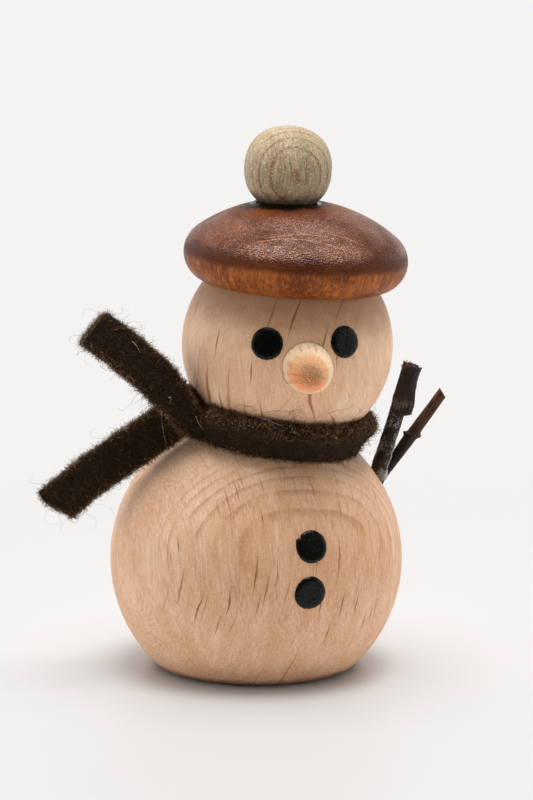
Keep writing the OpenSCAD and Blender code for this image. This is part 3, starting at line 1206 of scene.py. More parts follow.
@dataclass(frozen=True)
class Strand:
    """One fibre's mesh: a thin three-sided spindle cut across into steps."""

    steps: int
    tip: float = 0.4

    def mesh(self) -> Tuple[np.ndarray, np.ndarray]:
        """Corners, with heights from 0 to 1, and triangles.

        Returns:
            The corners and the triangles' three corners each.
        """
        shape = bmesh.new()
        bmesh.ops.create_cone(shape, cap_ends=True, segments=3, radius1=1.0, radius2=self.tip, depth=1.0)
        sides = [e for e in shape.edges if abs(e.verts[0].co.z - e.verts[1].co.z) > 0.5]
        bmesh.ops.subdivide_edges(shape, edges=sides, cuts=self.steps - 1)
        bmesh.ops.triangulate(shape, faces=shape.faces[:])
        shape.verts.index_update()
        corners = np.array([v.co for v in shape.verts]) + np.array([0, 0, 0.5])
        faces = np.array([[v.index for v in f.verts] for f in shape.faces])
        shape.free()
        return corners, faces

    def bundle(self, paths: np.ndarray, radii: np.ndarray, tones: np.ndarray) -> bpy.types.Mesh:
        """Repeats the fibre along many paths.

        Args:
            paths: points of each path in millimetres, one more than the steps.
            radii: each fibre's radius in millimetres.
            tones: each fibre's tone from 0 to 1.

        Returns:
            One mesh in metres with a tone attribute.
        """
        corners, faces = self.mesh()
        level = np.rint(corners[:, 2] * self.steps).astype(int)
        along = unit_rows(np.gradient(paths, axis=1))
        side = np.zeros_like(along)
        side[:, 0] = unit_rows(np.cross(along[:, 0], np.array([0.31, 0.57, 0.76])))
        for step in range(1, self.steps + 1):
            last = side[:, step - 1]
            side[:, step] = unit_rows(last - (last * along[:, step]).sum(1, keepdims=True) * along[:, step])
        cross = np.cross(along, side)
        spread = corners[None, :, 0:1] * side[:, level] + corners[None, :, 1:2] * cross[:, level]
        points = (paths[:, level] + spread * radii[:, None, None]).reshape(-1, 3) * MM
        count = len(paths)
        index = (faces[None] + (np.arange(count) * len(corners))[:, None, None]).reshape(-1)
        mesh = bpy.data.meshes.new("strands")
        mesh.vertices.add(len(points))
        mesh.vertices.foreach_set("co", points.astype(np.float32).ravel())
        mesh.loops.add(len(index))
        mesh.loops.foreach_set("vertex_index", index.astype(np.int32))
        mesh.polygons.add(len(index) // 3)
        mesh.polygons.foreach_set("loop_start", np.arange(0, len(index), 3, dtype=np.int32))
        mesh.polygons.foreach_set("use_smooth", np.ones(len(index) // 3, dtype=bool))
        mesh.update(calc_edges=True)
        tone = mesh.attributes.new("tone", "FLOAT", "POINT")
        tone.data.foreach_set("value", np.repeat(tones, len(corners)).astype(np.float32))
        return mesh


def strands(
    name: str, paths: np.ndarray, radii: np.ndarray, tones: np.ndarray, finish: Material
) -> None:
    """Makes fibres along many paths one piece of the figure.

    Args:
        name: the piece's name.
        paths: points of each path in millimetres.
        radii: each fibre's radius in millimetres.
        tones: each fibre's tone from 0 to 1.
        finish: its material.
    """
    steps = paths.shape[1] - 1
    settled(name, Strand(steps).bundle(paths, radii, tones), finish)


@dataclass(frozen=True)
class Nap:
    """One kind of fibre that grows out of cloth or wood.

    length, rise and tone are ranges: rise runs from 0 along the surface to 1 straight out of it. curl is the
    bend of one step and turn its scatter, both in degrees. on_cut is how much more densely the fibres stand
    on a cut edge, and sunk how deep their roots are.
    """

    name: str
    count: int
    length: Tuple[float, float]
    radius: float
    rise: Tuple[float, float]
    curl: float
    tone: Tuple[float, float]
    on_cut: float
    steps: int = 3
    turn: float = 0.0
    seed: int = 1
    sunk: float = 0.06

    def paths(self, roots: np.ndarray, normals: np.ndarray, draw: np.random.Generator) -> np.ndarray:
        """Points of every fibre, in millimetres.

        Args:
            roots: where the fibres start.
            normals: the cloth's normals there.
            draw: the source of chance.

        Returns:
            An array of fibres by points by three.
        """
        count = len(roots)
        flat = unit_rows(np.cross(normals, unit_rows(draw.normal(size=(count, 3)))))
        rise = draw.uniform(*self.rise, size=(count, 1))
        heading = unit_rows(normals * rise + flat * np.sqrt(np.maximum(1 - rise**2, 0)))
        axis = unit_rows(draw.normal(size=(count, 3)) + np.cross(normals, heading) * 0.6)
        length = draw.uniform(*self.length, size=(count, 1))
        turn = math.radians(self.curl) * draw.uniform(0.3, 1.6, size=(count, 1))
        points = [roots - normals * self.sunk]
        for _ in range(self.steps):
            points.append(points[-1] + heading * length / self.steps)
            swing = turn + math.radians(self.turn) * draw.normal(size=(count, 1))
            across = np.cross(axis, heading)
            heading = unit_rows(heading * np.cos(swing) + across * np.sin(swing))
            axis = unit_rows(axis + 0.25 * draw.normal(size=(count, 3)))
        return np.stack(points, axis=1)


def clear_of_wood(points: np.ndarray, gap: float) -> np.ndarray:
    """Moves points that lie inside the balls out to just off their surface.

    Args:
        points: any array of points in the figure's frame.
        gap: how far off the surface they end.

    Returns:
        The points that lie outside both balls.
    """
    for centre, radius in ((FIGURE.body(), FIGURE.body_r), (FIGURE.head(), FIGURE.head_r)):
        away = points - np.array(centre)
        distance = np.linalg.norm(away, axis=-1, keepdims=True)
        outside = np.array(centre) + away / distance * (radius + gap)
        points = np.where(distance < radius + gap, outside, points)
    return points


# ---- scarf ----


@dataclass
class Station:
    """A place along the strip, in the neck's frame.

    out goes through the felt and up across its width, and cup is the arc that it is bent to, in degrees.
    """

    point: Vector
    out: Vector
    up: Vector
    cup: float


@dataclass(frozen=True)
class Tail:
    """One loose end of the strip.

    side is 1 for the front end and -1 for the back end. leaves is where it leaves the band, in degrees past
    the crossing, and cross_z the crossing's height above the neck joint. rise is its slope in degrees, and
    bow how far it bows upwards at its middle.
    """

    side: int
    leaves: float
    cross_z: float
    rise: float
    length: float
    bow: float = 0.0


@dataclass
class Scarf:
    """One strip of felt laid round the neck, with its ends crossed into two loose tails.

    The lower tail is cut at a slant and droops, and the upper one folds in where it leaves the band. Each of
    the three fades out within its reach.
    """

    width: float = 4.6
    thick: float = 2.1
    band_up: float = 0.85
    band_lean: float = 30.0
    band_cup: float = 30.0
    knot_dir: float = 185.0
    knot_out: float = 0.9
    knot_reach: float = 0.35
    upper: Tail = Tail(1, 20.0, 2.1, 34.0, 15.0, 0.4)
    lower: Tail = Tail(-1, -28.0, 1.6, -42.0, 19.2)
    lower_cut: float = 32.0
    lower_cut_reach: float = 5.0
    lower_droop: float = 1.0
    lower_droop_reach: float = 8.0
    corner_wear: float = 0.45
    corner_wear_reach: float = 3.5
    fold_in: float = 1.4
    fold_back: int = 37
    fold_wide: float = 9.0
    tail_dir: float = 164.0
    tail_roll: float = 24.0
    wood_gap: float = 0.03
    felt_gap: float = 0.12
    knot_gap: float = 0.2
    corner: float = 0.5
    half_cut: float = 0.35
    end_bulge: float = 0.16
    fuzz: Tuple[Triple, ...] = ((0.11, 0.55, 3.0), (0.1, 1.7, 7.0), (0.07, 4.5, 1.0))
    band_steps: int = 140
    knot_steps: int = 24
    tail_steps: int = 32
    around: int = 104
    along: int = 660
    cap_rows: int = 7
    hair_gap: float = 0.03
    nap_gap: float = 0.05
    naps: Tuple[Nap, ...] = (
        Nap("scarf_nap_face", 14000, (0.3, 0.9), 0.023, (0.1, 0.65), 28, (0.0, 0.5), 0.8, 4, 20, 11),
        Nap("scarf_nap_cut", 22000, (0.3, 0.95), 0.026, (0.3, 0.98), 28, (0.0, 0.6), 6.0, 4, 24, 12),
        Nap("scarf_crimps", 5600, (0.2, 0.5), 0.045, (0.1, 0.7), 34, (0.45, 1.0), 14.0, 4, 24, 15),
        Nap("scarf_curls", 3000, (0.7, 2.0), 0.023, (0.1, 0.75), 24, (0.2, 0.75), 1.8, 8, 18, 13),
        Nap("scarf_strays", 340, (2.0, 6.0), 0.017, (0.35, 0.95), 22, (0.15, 0.6), 2.2, 16, 17, 14),
        Nap("scarf_loops", 460, (2.0, 5.0), 0.016, (0.3, 0.9), 36, (0.2, 0.6), 2.2, 16, 14, 16),
    )
    stations: List[Station] = field(default_factory=list)

    def cupped(self, out: float, up: float, cup: float) -> Tuple[float, float]:
        """Bends the section's middle line into an arc.

        Args:
            out, up: a point of the flat section.
            cup: the arc in degrees.

        Returns:
            The point of the bent section.
        """
        bend = max(cup, 0.5)
        radius = self.width / math.radians(bend)
        turn = math.radians(bend * up / self.width)
        return (
            radius * (1 - math.cos(turn)) + out * math.cos(turn),
            radius * math.sin(turn) - out * math.sin(turn),
        )

    def band_r(self) -> float:
        """Radius of the band, whose upper inner corner touches the head.

        Returns:
            The radius, in millimetres.
        """
        out, up = self.cupped(-self.thick / 2, self.width / 2, self.band_cup)
        tilt = math.radians(self.band_lean)
        corner_out = out * math.cos(tilt) + up * math.sin(tilt)
        corner_up = up * math.cos(tilt) - out * math.sin(tilt)
        rise = flat_at(FIGURE.head_r, FIGURE.neck_flat_d) - self.band_up - corner_up
        return flat_at(FIGURE.head_r + self.felt_gap, 2 * rise) - corner_out

    def band_station(self, angle: float) -> Station:
        """Station of the band at an angle round the neck.

        Args:
            angle: direction from the neck's middle, in degrees.

        Returns:
            The station.
        """
        tilt = math.radians(self.band_lean)
        way = flat_dir(angle)
        up = Vector((0, 0, 1))
        return Station(
            self.band_r() * way + self.band_up * up,
            math.cos(tilt) * way - math.sin(tilt) * up,
            math.sin(tilt) * way + math.cos(tilt) * up,
            self.band_cup,
        )

    def tail(self, tail: Tail) -> List[Station]:
        """One end of the strip: a curve from the band to the crossing, then the tail.

        Args:
            tail: the end's slope and sizes.

        Returns:
            Its stations, from the band outwards.
        """
        side = tail.side
        steep = math.radians(tail.rise)
        along = math.cos(steep) * flat_dir(self.tail_dir) + Vector((0, 0, math.sin(steep)))
        upwards = Vector((0, 0, math.cos(steep))) - math.sin(steep) * flat_dir(self.tail_dir)
        across = flat_dir(self.tail_dir + 90)
        start = self.band_station(self.knot_dir + tail.leaves)
        heading = flat_dir(self.knot_dir + tail.leaves - 90) * side
        turn = self.knot_reach * self.width
        knot_r = self.band_r() + self.knot_out * self.thick
        crossing = knot_r * flat_dir(self.knot_dir) + Vector((0, 0, tail.cross_z))
        end = crossing + side * (self.thick + self.knot_gap) / 2 * across
        bend = (start.point, start.point + turn * heading, end - turn * along, end)
        first, middle, last = (after - before for before, after in zip(bend, bend[1:]))
        made = []
        for step in range(1, self.knot_steps + 1):
            u = step / self.knot_steps
            v = 1 - u
            way = (v * v * first + 2 * v * u * middle + u * u * last).normalized()
            out = (1 - ease(u)) * start.out + ease(u) * side * across
            out = (out - out.dot(way) * way).normalized()
            cup = self.band_cup * (1 - ease(u))
            made.append(Station(curve(u, *bend), out, side * way.cross(out), cup))
        for step in range(1, self.tail_steps + 1):
            u = step / self.tail_steps
            roll = math.radians(self.tail_roll * u * (2 - u))
            out = math.cos(roll) * across + Vector((0, 0, math.sin(roll)))
            out = side * (out - out.dot(along) * along).normalized()
            point = end + along * tail.length * u + upwards * 4 * tail.bow * u * (1 - u)
            made.append(Station(point, out, side * along.cross(out), 0.0))
        return made

    def lay(self) -> None:
        """Works out the strip's stations from the end of the lower tail to the end of the upper one."""
        start = self.knot_dir + self.lower.leaves
        turn = 360 - self.upper.leaves + self.lower.leaves
        band = [
            self.band_station(start - turn * step / self.band_steps) for step in range(self.band_steps + 1)
        ]
        self.stations = self.tail(self.lower)[::-1] + band + self.tail(self.upper)

    def section(self, turn: float) -> Tuple[Vector, Vector, float]:
        """Rounded section of the strip.

        Args:
            turn: place round it from 0 to 1.

        Returns:
            The point and the outward direction, as out and up, and how far the point is on a cut edge.
        """
        wide, deep, bend = self.width / 2 - self.corner, self.thick / 2 - self.corner, self.corner
        arc = math.pi / 2 * bend
        lengths = [2 * wide, arc, 2 * deep, arc, 2 * wide, arc, 2 * deep, arc]
        left = turn * sum(lengths)
        corners = [(deep, wide, 0), (-deep, wide, 90), (-deep, -wide, 180), (deep, -wide, 270)]
        part = 0
        while part < 7 and left > lengths[part]:
            left -= lengths[part]
            part += 1
        share = left / lengths[part]
        if part % 2:
            x, y, first = corners[part // 2]
            out = flat_dir(first + 90 * share)
            cut = share if part in (1, 5) else 1 - share
            return Vector((x, y, 0)) + out * bend, out, self.half_cut + (1 - self.half_cut) * cut
        out = (Vector((1, 0, 0)), Vector((0, 1, 0)), Vector((-1, 0, 0)), Vector((0, -1, 0)))[part // 2]
        along = Vector((-out.y, out.x, 0))
        half = lengths[part] / 2
        reach = (deep if part in (0, 4) else wide) + bend
        near = max(0.0, (abs(left - half) - half + bend) / bend)
        return out * reach + along * (left - half), out, 1.0 if part in (2, 6) else self.half_cut * near

    def point(self, turn: float, run: float) -> Tuple[Vector, float]:
        """Point of the strip's surface and how far it is on a cut edge.

        Args:
            turn: place round the section.
            run: place along the strip.

        Returns:
            The point in the figure's frame, and a number from 0 to 1.
        """
        row = run * self.along
        first, last = self.cap_rows, self.along - self.cap_rows
        cap = max(first - row, row - last, 0.0) / self.cap_rows
        spot = (min(max(row, first), last) - first) / (last - first) * (len(self.stations) - 1)
        low = min(int(spot), len(self.stations) - 2)
        share = spot - low
        a, b = self.stations[low], self.stations[low + 1]
        centre = a.point.lerp(b.point, share)
        out, up = a.out.lerp(b.out, share).normalized(), a.up.lerp(b.up, share).normalized()
        flat, outward, cut = self.section(turn)
        shrink = math.sqrt(max(1 - cap, 0.0)) if cap < 1 else 0.0
        around = centre + flat.x * out + flat.y * up
        flat = (flat + outward * relief(around, *self.fuzz)) * shrink
        upper = row >= self.along / 2
        if upper:
            fold = swell(spot, len(self.stations) - self.fold_back, self.fold_wide)
            flat.y -= self.fold_in * fold * max(flat.y / self.width + 0.5, 0.0)
        bent = self.cupped(flat.x, flat.y, a.cup + (b.cup - a.cup) * share)
        point = centre + bent[0] * out + bent[1] * up
        way = (b.point - a.point).normalized() * (1 if upper else -1)
        point += way * (self.end_bulge * (1 - shrink) + 0.1 * rough(around, 2.6, 5.0) * ease(cap))
        tip = self.stations[-1 if upper else 0]
        near = (point - tip.point).length
        worn = max(abs(flat.y) / self.width - 0.3, 0.0) / 0.2
        point -= way * self.corner_wear * worn * worn * ease(1 - near / self.corner_wear_reach)
        if not upper:
            slant = flat.y * math.tan(math.radians(self.lower_cut))
            point += way * slant * ease(1 - near / self.lower_cut_reach)
            point -= tip.up * self.lower_droop * max(1 - near / self.lower_droop_reach, 0.0) ** 2
        return FIGURE.neck() @ self.off_wood(point), max(cut, ease(cap * 3))

    def off_wood(self, point: Vector) -> Vector:
        """Point moved out of the balls to just off their surface.

        Args:
            point: a point in the neck's frame.

        Returns:
            The nearest point that is outside both balls.
        """
        balls = (
            (flat_at(FIGURE.head_r, FIGURE.neck_flat_d), FIGURE.head_r),
            (-flat_at(FIGURE.body_r, FIGURE.neck_flat_d), FIGURE.body_r),
        )
        for height, radius in balls:
            centre = Vector((0, 0, height))
            away = point - centre
            if away.length < radius + self.wood_gap:
                point = centre + away.normalized() * (radius + self.wood_gap)
        return point

    def strip(self, finish: Material) -> bpy.types.Object:
        """Builds the felt itself.

        Args:
            finish: its material.

        Returns:
            The piece.
        """
        shape = bmesh.new()
        bmesh.ops.create_grid(shape, x_segments=self.along, y_segments=self.around, size=0.5)
        cut = shape.verts.layers.float.new("cut")
        for vertex, turn, run in spots(shape):
            vertex.co, vertex[cut] = self.point(turn, run)
        piece = finished("scarf_felt", joined(shape), finish)
        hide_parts("scarf")
        return piece

    def grow(self, felt: bpy.types.Object, nap: Nap, finish: Material) -> None:
        """Grows one kind of fibre, in pieces that each stay under the most triangles.

        Args:
            felt: the felt that they grow out of.
            nap: the kind of fibre.
            finish: their material.
        """
        mesh = felt.data
        count = len(mesh.polygons)
        centres, normals, areas = np.zeros(count * 3), np.zeros(count * 3), np.zeros(count)
        mesh.polygons.foreach_get("center", centres)
        mesh.polygons.foreach_get("normal", normals)
        mesh.polygons.foreach_get("area", areas)
        centres, normals = centres.reshape(-1, 3) / MM, normals.reshape(-1, 3)
        cuts = np.zeros(len(mesh.vertices))
        mesh.attributes["cut"].data.foreach_get("value", cuts)
        corner = np.array([mesh.loops[f.loop_start].vertex_index for f in mesh.polygons])
        weight = areas * (1 + (nap.on_cut - 1) * cuts[corner])
        draw = np.random.default_rng(nap.seed)
        chosen = draw.choice(count, size=nap.count, p=weight / weight.sum())
        jitter = draw.normal(scale=0.05, size=(nap.count, 3))
        paths = clear_of_wood(nap.paths(centres[chosen] + jitter, normals[chosen], draw), self.nap_gap)
        radii = nap.radius * draw.uniform(0.75, 1.3, size=nap.count)
        tones = draw.uniform(*nap.tone, size=nap.count) * (0.5 + 0.5 * cuts[corner][chosen])
        limit = MOST_TRIANGLES // (6 * nap.steps + 2)
        for number, first in enumerate(range(0, nap.count, limit), 1):
            part = slice(first, first + limit)
            strands(f"{nap.name}_{number}", paths[part], radii[part], tones[part], finish)

    def hairs(self, finish: Material) -> None:
        """A few bleached hairs caught on the felt, and dark ones that lie on the head.

        Args:
            finish: their material.
        """
        shares = np.linspace(0.0, 1.0, 13)[:, None]
        curves = (
            (0.95, ((-12.7, -1.7, 31.9), (-13.1, -2.6, 30.6), (-12.6, -2.4, 28.8), (-12.0, -1.9, 26.9))),
            (1.0, ((-9.8, -5.4, 31.7), (-9.6, -5.6, 30.9), (-9.2, -5.6, 30.3), (-8.8, -5.5, 30.0))),
            (0.9, ((-17.0, -3.4, 40.6), (-16.6, -3.7, 40.3), (-16.3, -3.7, 39.8), (-16.1, -3.6, 39.2))),
            (1.0, ((-3.9, -10.6, 32.1), (-3.2, -11.7, 31.9), (-2.6, -12.2, 31.6), (-1.7, -12.5, 31.3))),
            (0.9, ((-13.0, -4.8, 33.9), (-12.6, -4.9, 34.2), (-12.5, -4.9, 33.7), (-13.0, -4.9, 33.2))),
            (0.2, ((-3.6, -10.8, 32.4), (-2.1, -12.0, 32.4), (-1.6, -12.6, 33.6), (-0.7, -13.8, 35.6))),
            (0.2, ((-4.0, -10.5, 32.3), (-2.6, -11.6, 33.8), (-0.6, -12.4, 33.0), (1.5, -13.0, 32.6))),
            (0.2, ((3.6, -13.0, 32.4), (5.3, -12.9, 33.3), (6.6, -12.3, 32.4), (7.1, -12.4, 33.4))),
            (0.2, ((-6.3, -8.3, 32.8), (-5.8, -9.6, 34.3), (-5.0, -10.0, 32.8), (-4.2, -11.0, 33.8))),
            (0.2, ((-1.0, -12.4, 32.3), (-0.4, -12.6, 33.8), (0.6, -12.8, 33.3), (1.0, -12.8, 32.4))),
        )
        tones = np.array([tone for tone, _ in curves])
        paths = np.array([curve(shares, *(np.array(turn) for turn in turns)) for _, turns in curves])
        paths = clear_of_wood(paths, self.hair_gap)
        strands("scarf_hairs", paths, 0.016 + 0.008 * tones, tones, finish)

    def build(self) -> None:
        """Lays the strip and grows its fibres."""
        self.lay()
        felt = self.strip(Felt("felt_finish").material())
        wool = Wool("wool_finish").material()
        for nap in self.naps:
            self.grow(felt, nap, wool)
        self.hairs(wool)


# ---- face and buttons ----


@dataclass
class PaintDrop:
    """A drop of thick paint dried on a ball: a low rounded rim round a slightly sunken middle.

    crown is the outline of its top, as shares of its radius and thickness, and notch the angle of a nick in
    its edge. Its underside is sunk into the ball.
    """

    node: str
    seat: Matrix
    ball_r: float
    across: float
    seed: float
    thick: float = 0.24
    sunk: float = 0.01
    notch: Optional[float] = None
    steps: int = 144
    crown: Tuple[Tuple[float, float], ...] = (
        (0.0, 0.82), (0.2, 0.83), (0.4, 0.87), (0.58, 0.94), (0.72, 1.0),
        (0.82, 0.97), (0.9, 0.8), (0.96, 0.5), (1.0, 0.06),
    )

    def edge(self, angle: float) -> float:
        """Radius of the drop at an angle, as a share of its mean radius.

        Args:
            angle: direction round it, in radians.

        Returns:
            The share.
        """
        way = Vector((math.cos(angle), math.sin(angle), self.seed))
        share = 1 + 0.028 * rough(way, 1.1, self.seed) + 0.02 * rough(way, 4.5, self.seed)
        share += 0.02 * rough(way, 12.0, self.seed)
        if self.notch is not None:
            off = math.remainder(angle - math.radians(self.notch), 2 * math.pi)
            share -= 0.1 * swell(off, 0, 0.14) - 0.05 * swell(off, 0.3, 0.16)
        return share

    def build(self, finish: Material) -> None:
        """Builds the drop.

        Args:
            finish: the paint's material.
        """
        radius = self.across / 2
        profile = [(out * radius, high) for out, high in self.crown] + [(radius, -1.0), (0.0, -1.0)]
        shape = spun(profile, self.steps)
        for vertex in shape.verts:
            out = math.hypot(vertex.co.x, vertex.co.y)
            share = self.edge(math.atan2(vertex.co.y, vertex.co.x)) if out > 1e-6 else 1.0
            grown = 1 + (share - 1) * (out / radius) ** 2
            vertex.co.x *= grown
            vertex.co.y *= grown
            uneven = 1 + 0.06 * rough(vertex.co, 0.8, self.seed)
            lift = -self.sunk if vertex.co.z < 0 else vertex.co.z * self.thick * uneven
            vertex.co.z = math.sqrt(self.ball_r**2 - vertex.co.xy.length_squared) + lift
        bmesh.ops.recalc_face_normals(shape, faces=shape.faces[:])
        bmesh.ops.transform(shape, matrix=self.seat, verts=shape.verts[:])
        piece = finished(f"{self.node}_paint", shape, finish)
        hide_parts(self.node)


@dataclass
class Face:
    """The two painted eyes and the nose peg."""

    eye_d: float = 3.76
    eye_side: float = 21.8
    eye_lift: float = 9.2
    nose_d: float = 5.3
    hole_d: float = 5.8
    nose_out: float = 3.9
    nose_in: float = 4.5
    nose_drop: float = 3.3
    end_gap: float = 0.4
    nose_bare: float = 0.4
    nose_sag: Tuple[float, float] = (0.08, -0.15)
    fray_count: int = 260
    steps: int = 128
    taper_steps: int = 9
    dome_steps: int = 36

    def nose_frame(self) -> Matrix:
        """Frame at the middle of the head, with +Z out through the nose."""
        return FIGURE.on_ball(FIGURE.head(), FIGURE.face_turn, -self.nose_drop)

    def nose(self, finish: Material) -> None:
        """Builds the peg with its domed end and rough rim.

        Args:
            finish: its material.
        """
        radius, foot = self.nose_d / 2, self.hole_d / 2
        inner = FIGURE.head_r - self.nose_in + self.end_gap
        rim = FIGURE.head_r + self.nose_out - radius
        profile = [(0.0, inner), (foot, inner), (foot, FIGURE.head_r)]
        for step in range(1, self.taper_steps + 1):
            high = FIGURE.head_r + (rim - FIGURE.head_r) * step / self.taper_steps
            profile.append((foot + (radius - foot) * ease(step / self.taper_steps), high))
        for step in range(1, self.dome_steps + 1):
            turn = math.radians(90 / self.dome_steps * step)
            out = radius * math.cos(turn) if step < self.dome_steps else 0.0
            profile.append((out, rim + radius * math.sin(turn)))
        shape = spun(profile, self.steps)
        middle, bare = Vector((0, 0, rim)), FIGURE.head_r - self.nose_bare
        for vertex in shape.verts:
            away = vertex.co - middle
            if vertex.co.z > bare:
                fray = swell(vertex.co.xy.length, radius * 0.96, 0.28)
                size = relief(vertex.co, (0.03, 1.2, 2.0), (0.02, 5.0, 4.0))
                vertex.co += away.normalized() * (size + fray * 0.05 * rough(vertex.co, 3.4, 6.0))
                sag = min((vertex.co.z - bare) / self.nose_out, 1)
                vertex.co += Vector((*self.nose_sag, 0)) * sag
        bmesh.ops.transform(shape, matrix=self.nose_frame(), verts=shape.verts[:])
        piece = finished("nose_peg", shape, finish)
        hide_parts("nose")

    def fray(self, finish: Material) -> None:
        """Short wood fibres along the rim of the peg.

        Args:
            finish: their material.
        """
        draw = np.random.default_rng(31)
        count, radius = self.fray_count, self.nose_d / 2
        rim = FIGURE.head_r + self.nose_out - radius
        angle = draw.uniform(-0.2, 1.0, size=count) * math.pi
        angle = np.where(draw.uniform(size=count) < 0.55, draw.normal(-2.2, 0.7, size=count), angle)
        high = draw.uniform(0.05, 0.75, size=count)
        out = round_rows(angle, np.cos(high), np.sin(high))
        roots = out * radius + np.array([0, 0, rim])
        nap = Nap("nose_fray", count, (0.12, 0.4), 0.016, (0.1, 0.7), 30, (0.8, 0.97), 1.0)
        seat = self.nose_frame()
        paths = nap.paths(placed_rows(roots, seat), turned_rows(out, seat), draw)
        radii = nap.radius * draw.uniform(0.7, 1.5, size=count)
        tones = draw.uniform(*nap.tone, size=count)
        strands(nap.name, paths, radii, tones, finish)

    def build(self, paint: Material, wool: Material) -> None:
        """Builds the eyes and the nose.

        Args:
            paint: the eyes' material.
            wool: the material of the nose's fibres.
        """
        for node, side, seed in (("eye_right", -self.eye_side, 1.7), ("eye_left", self.eye_side, 5.2)):
            seat = FIGURE.on_ball(FIGURE.head(), FIGURE.face_turn + side, self.eye_lift)
            PaintDrop(node, seat, FIGURE.head_r, self.eye_d, seed).build(paint)
        self.nose(NoseGrain("nose_finish", self.nose_frame()).material())
        self.fray(wool)


@dataclass
class Buttons:
    """The two painted buttons."""

    across: float = 3.84
    lift: float = 15.7
    step: float = 17.6

    def build(self, paint: Material) -> None:
        """Builds both buttons; the upper one has a nick in its edge.

        Args:
            paint: their material.
        """
        for node, side, lift, seed, notch in (
            ("button_upper", 1.0, self.lift, 8.1, 138.0),
            ("button_lower", -0.3, self.lift - self.step, 3.4, None),
        ):
            seat = FIGURE.on_ball(FIGURE.body(), side, lift)
            PaintDrop(node, seat, FIGURE.body_r, self.across, seed, notch=notch).build(paint)


# ---- twigs ----


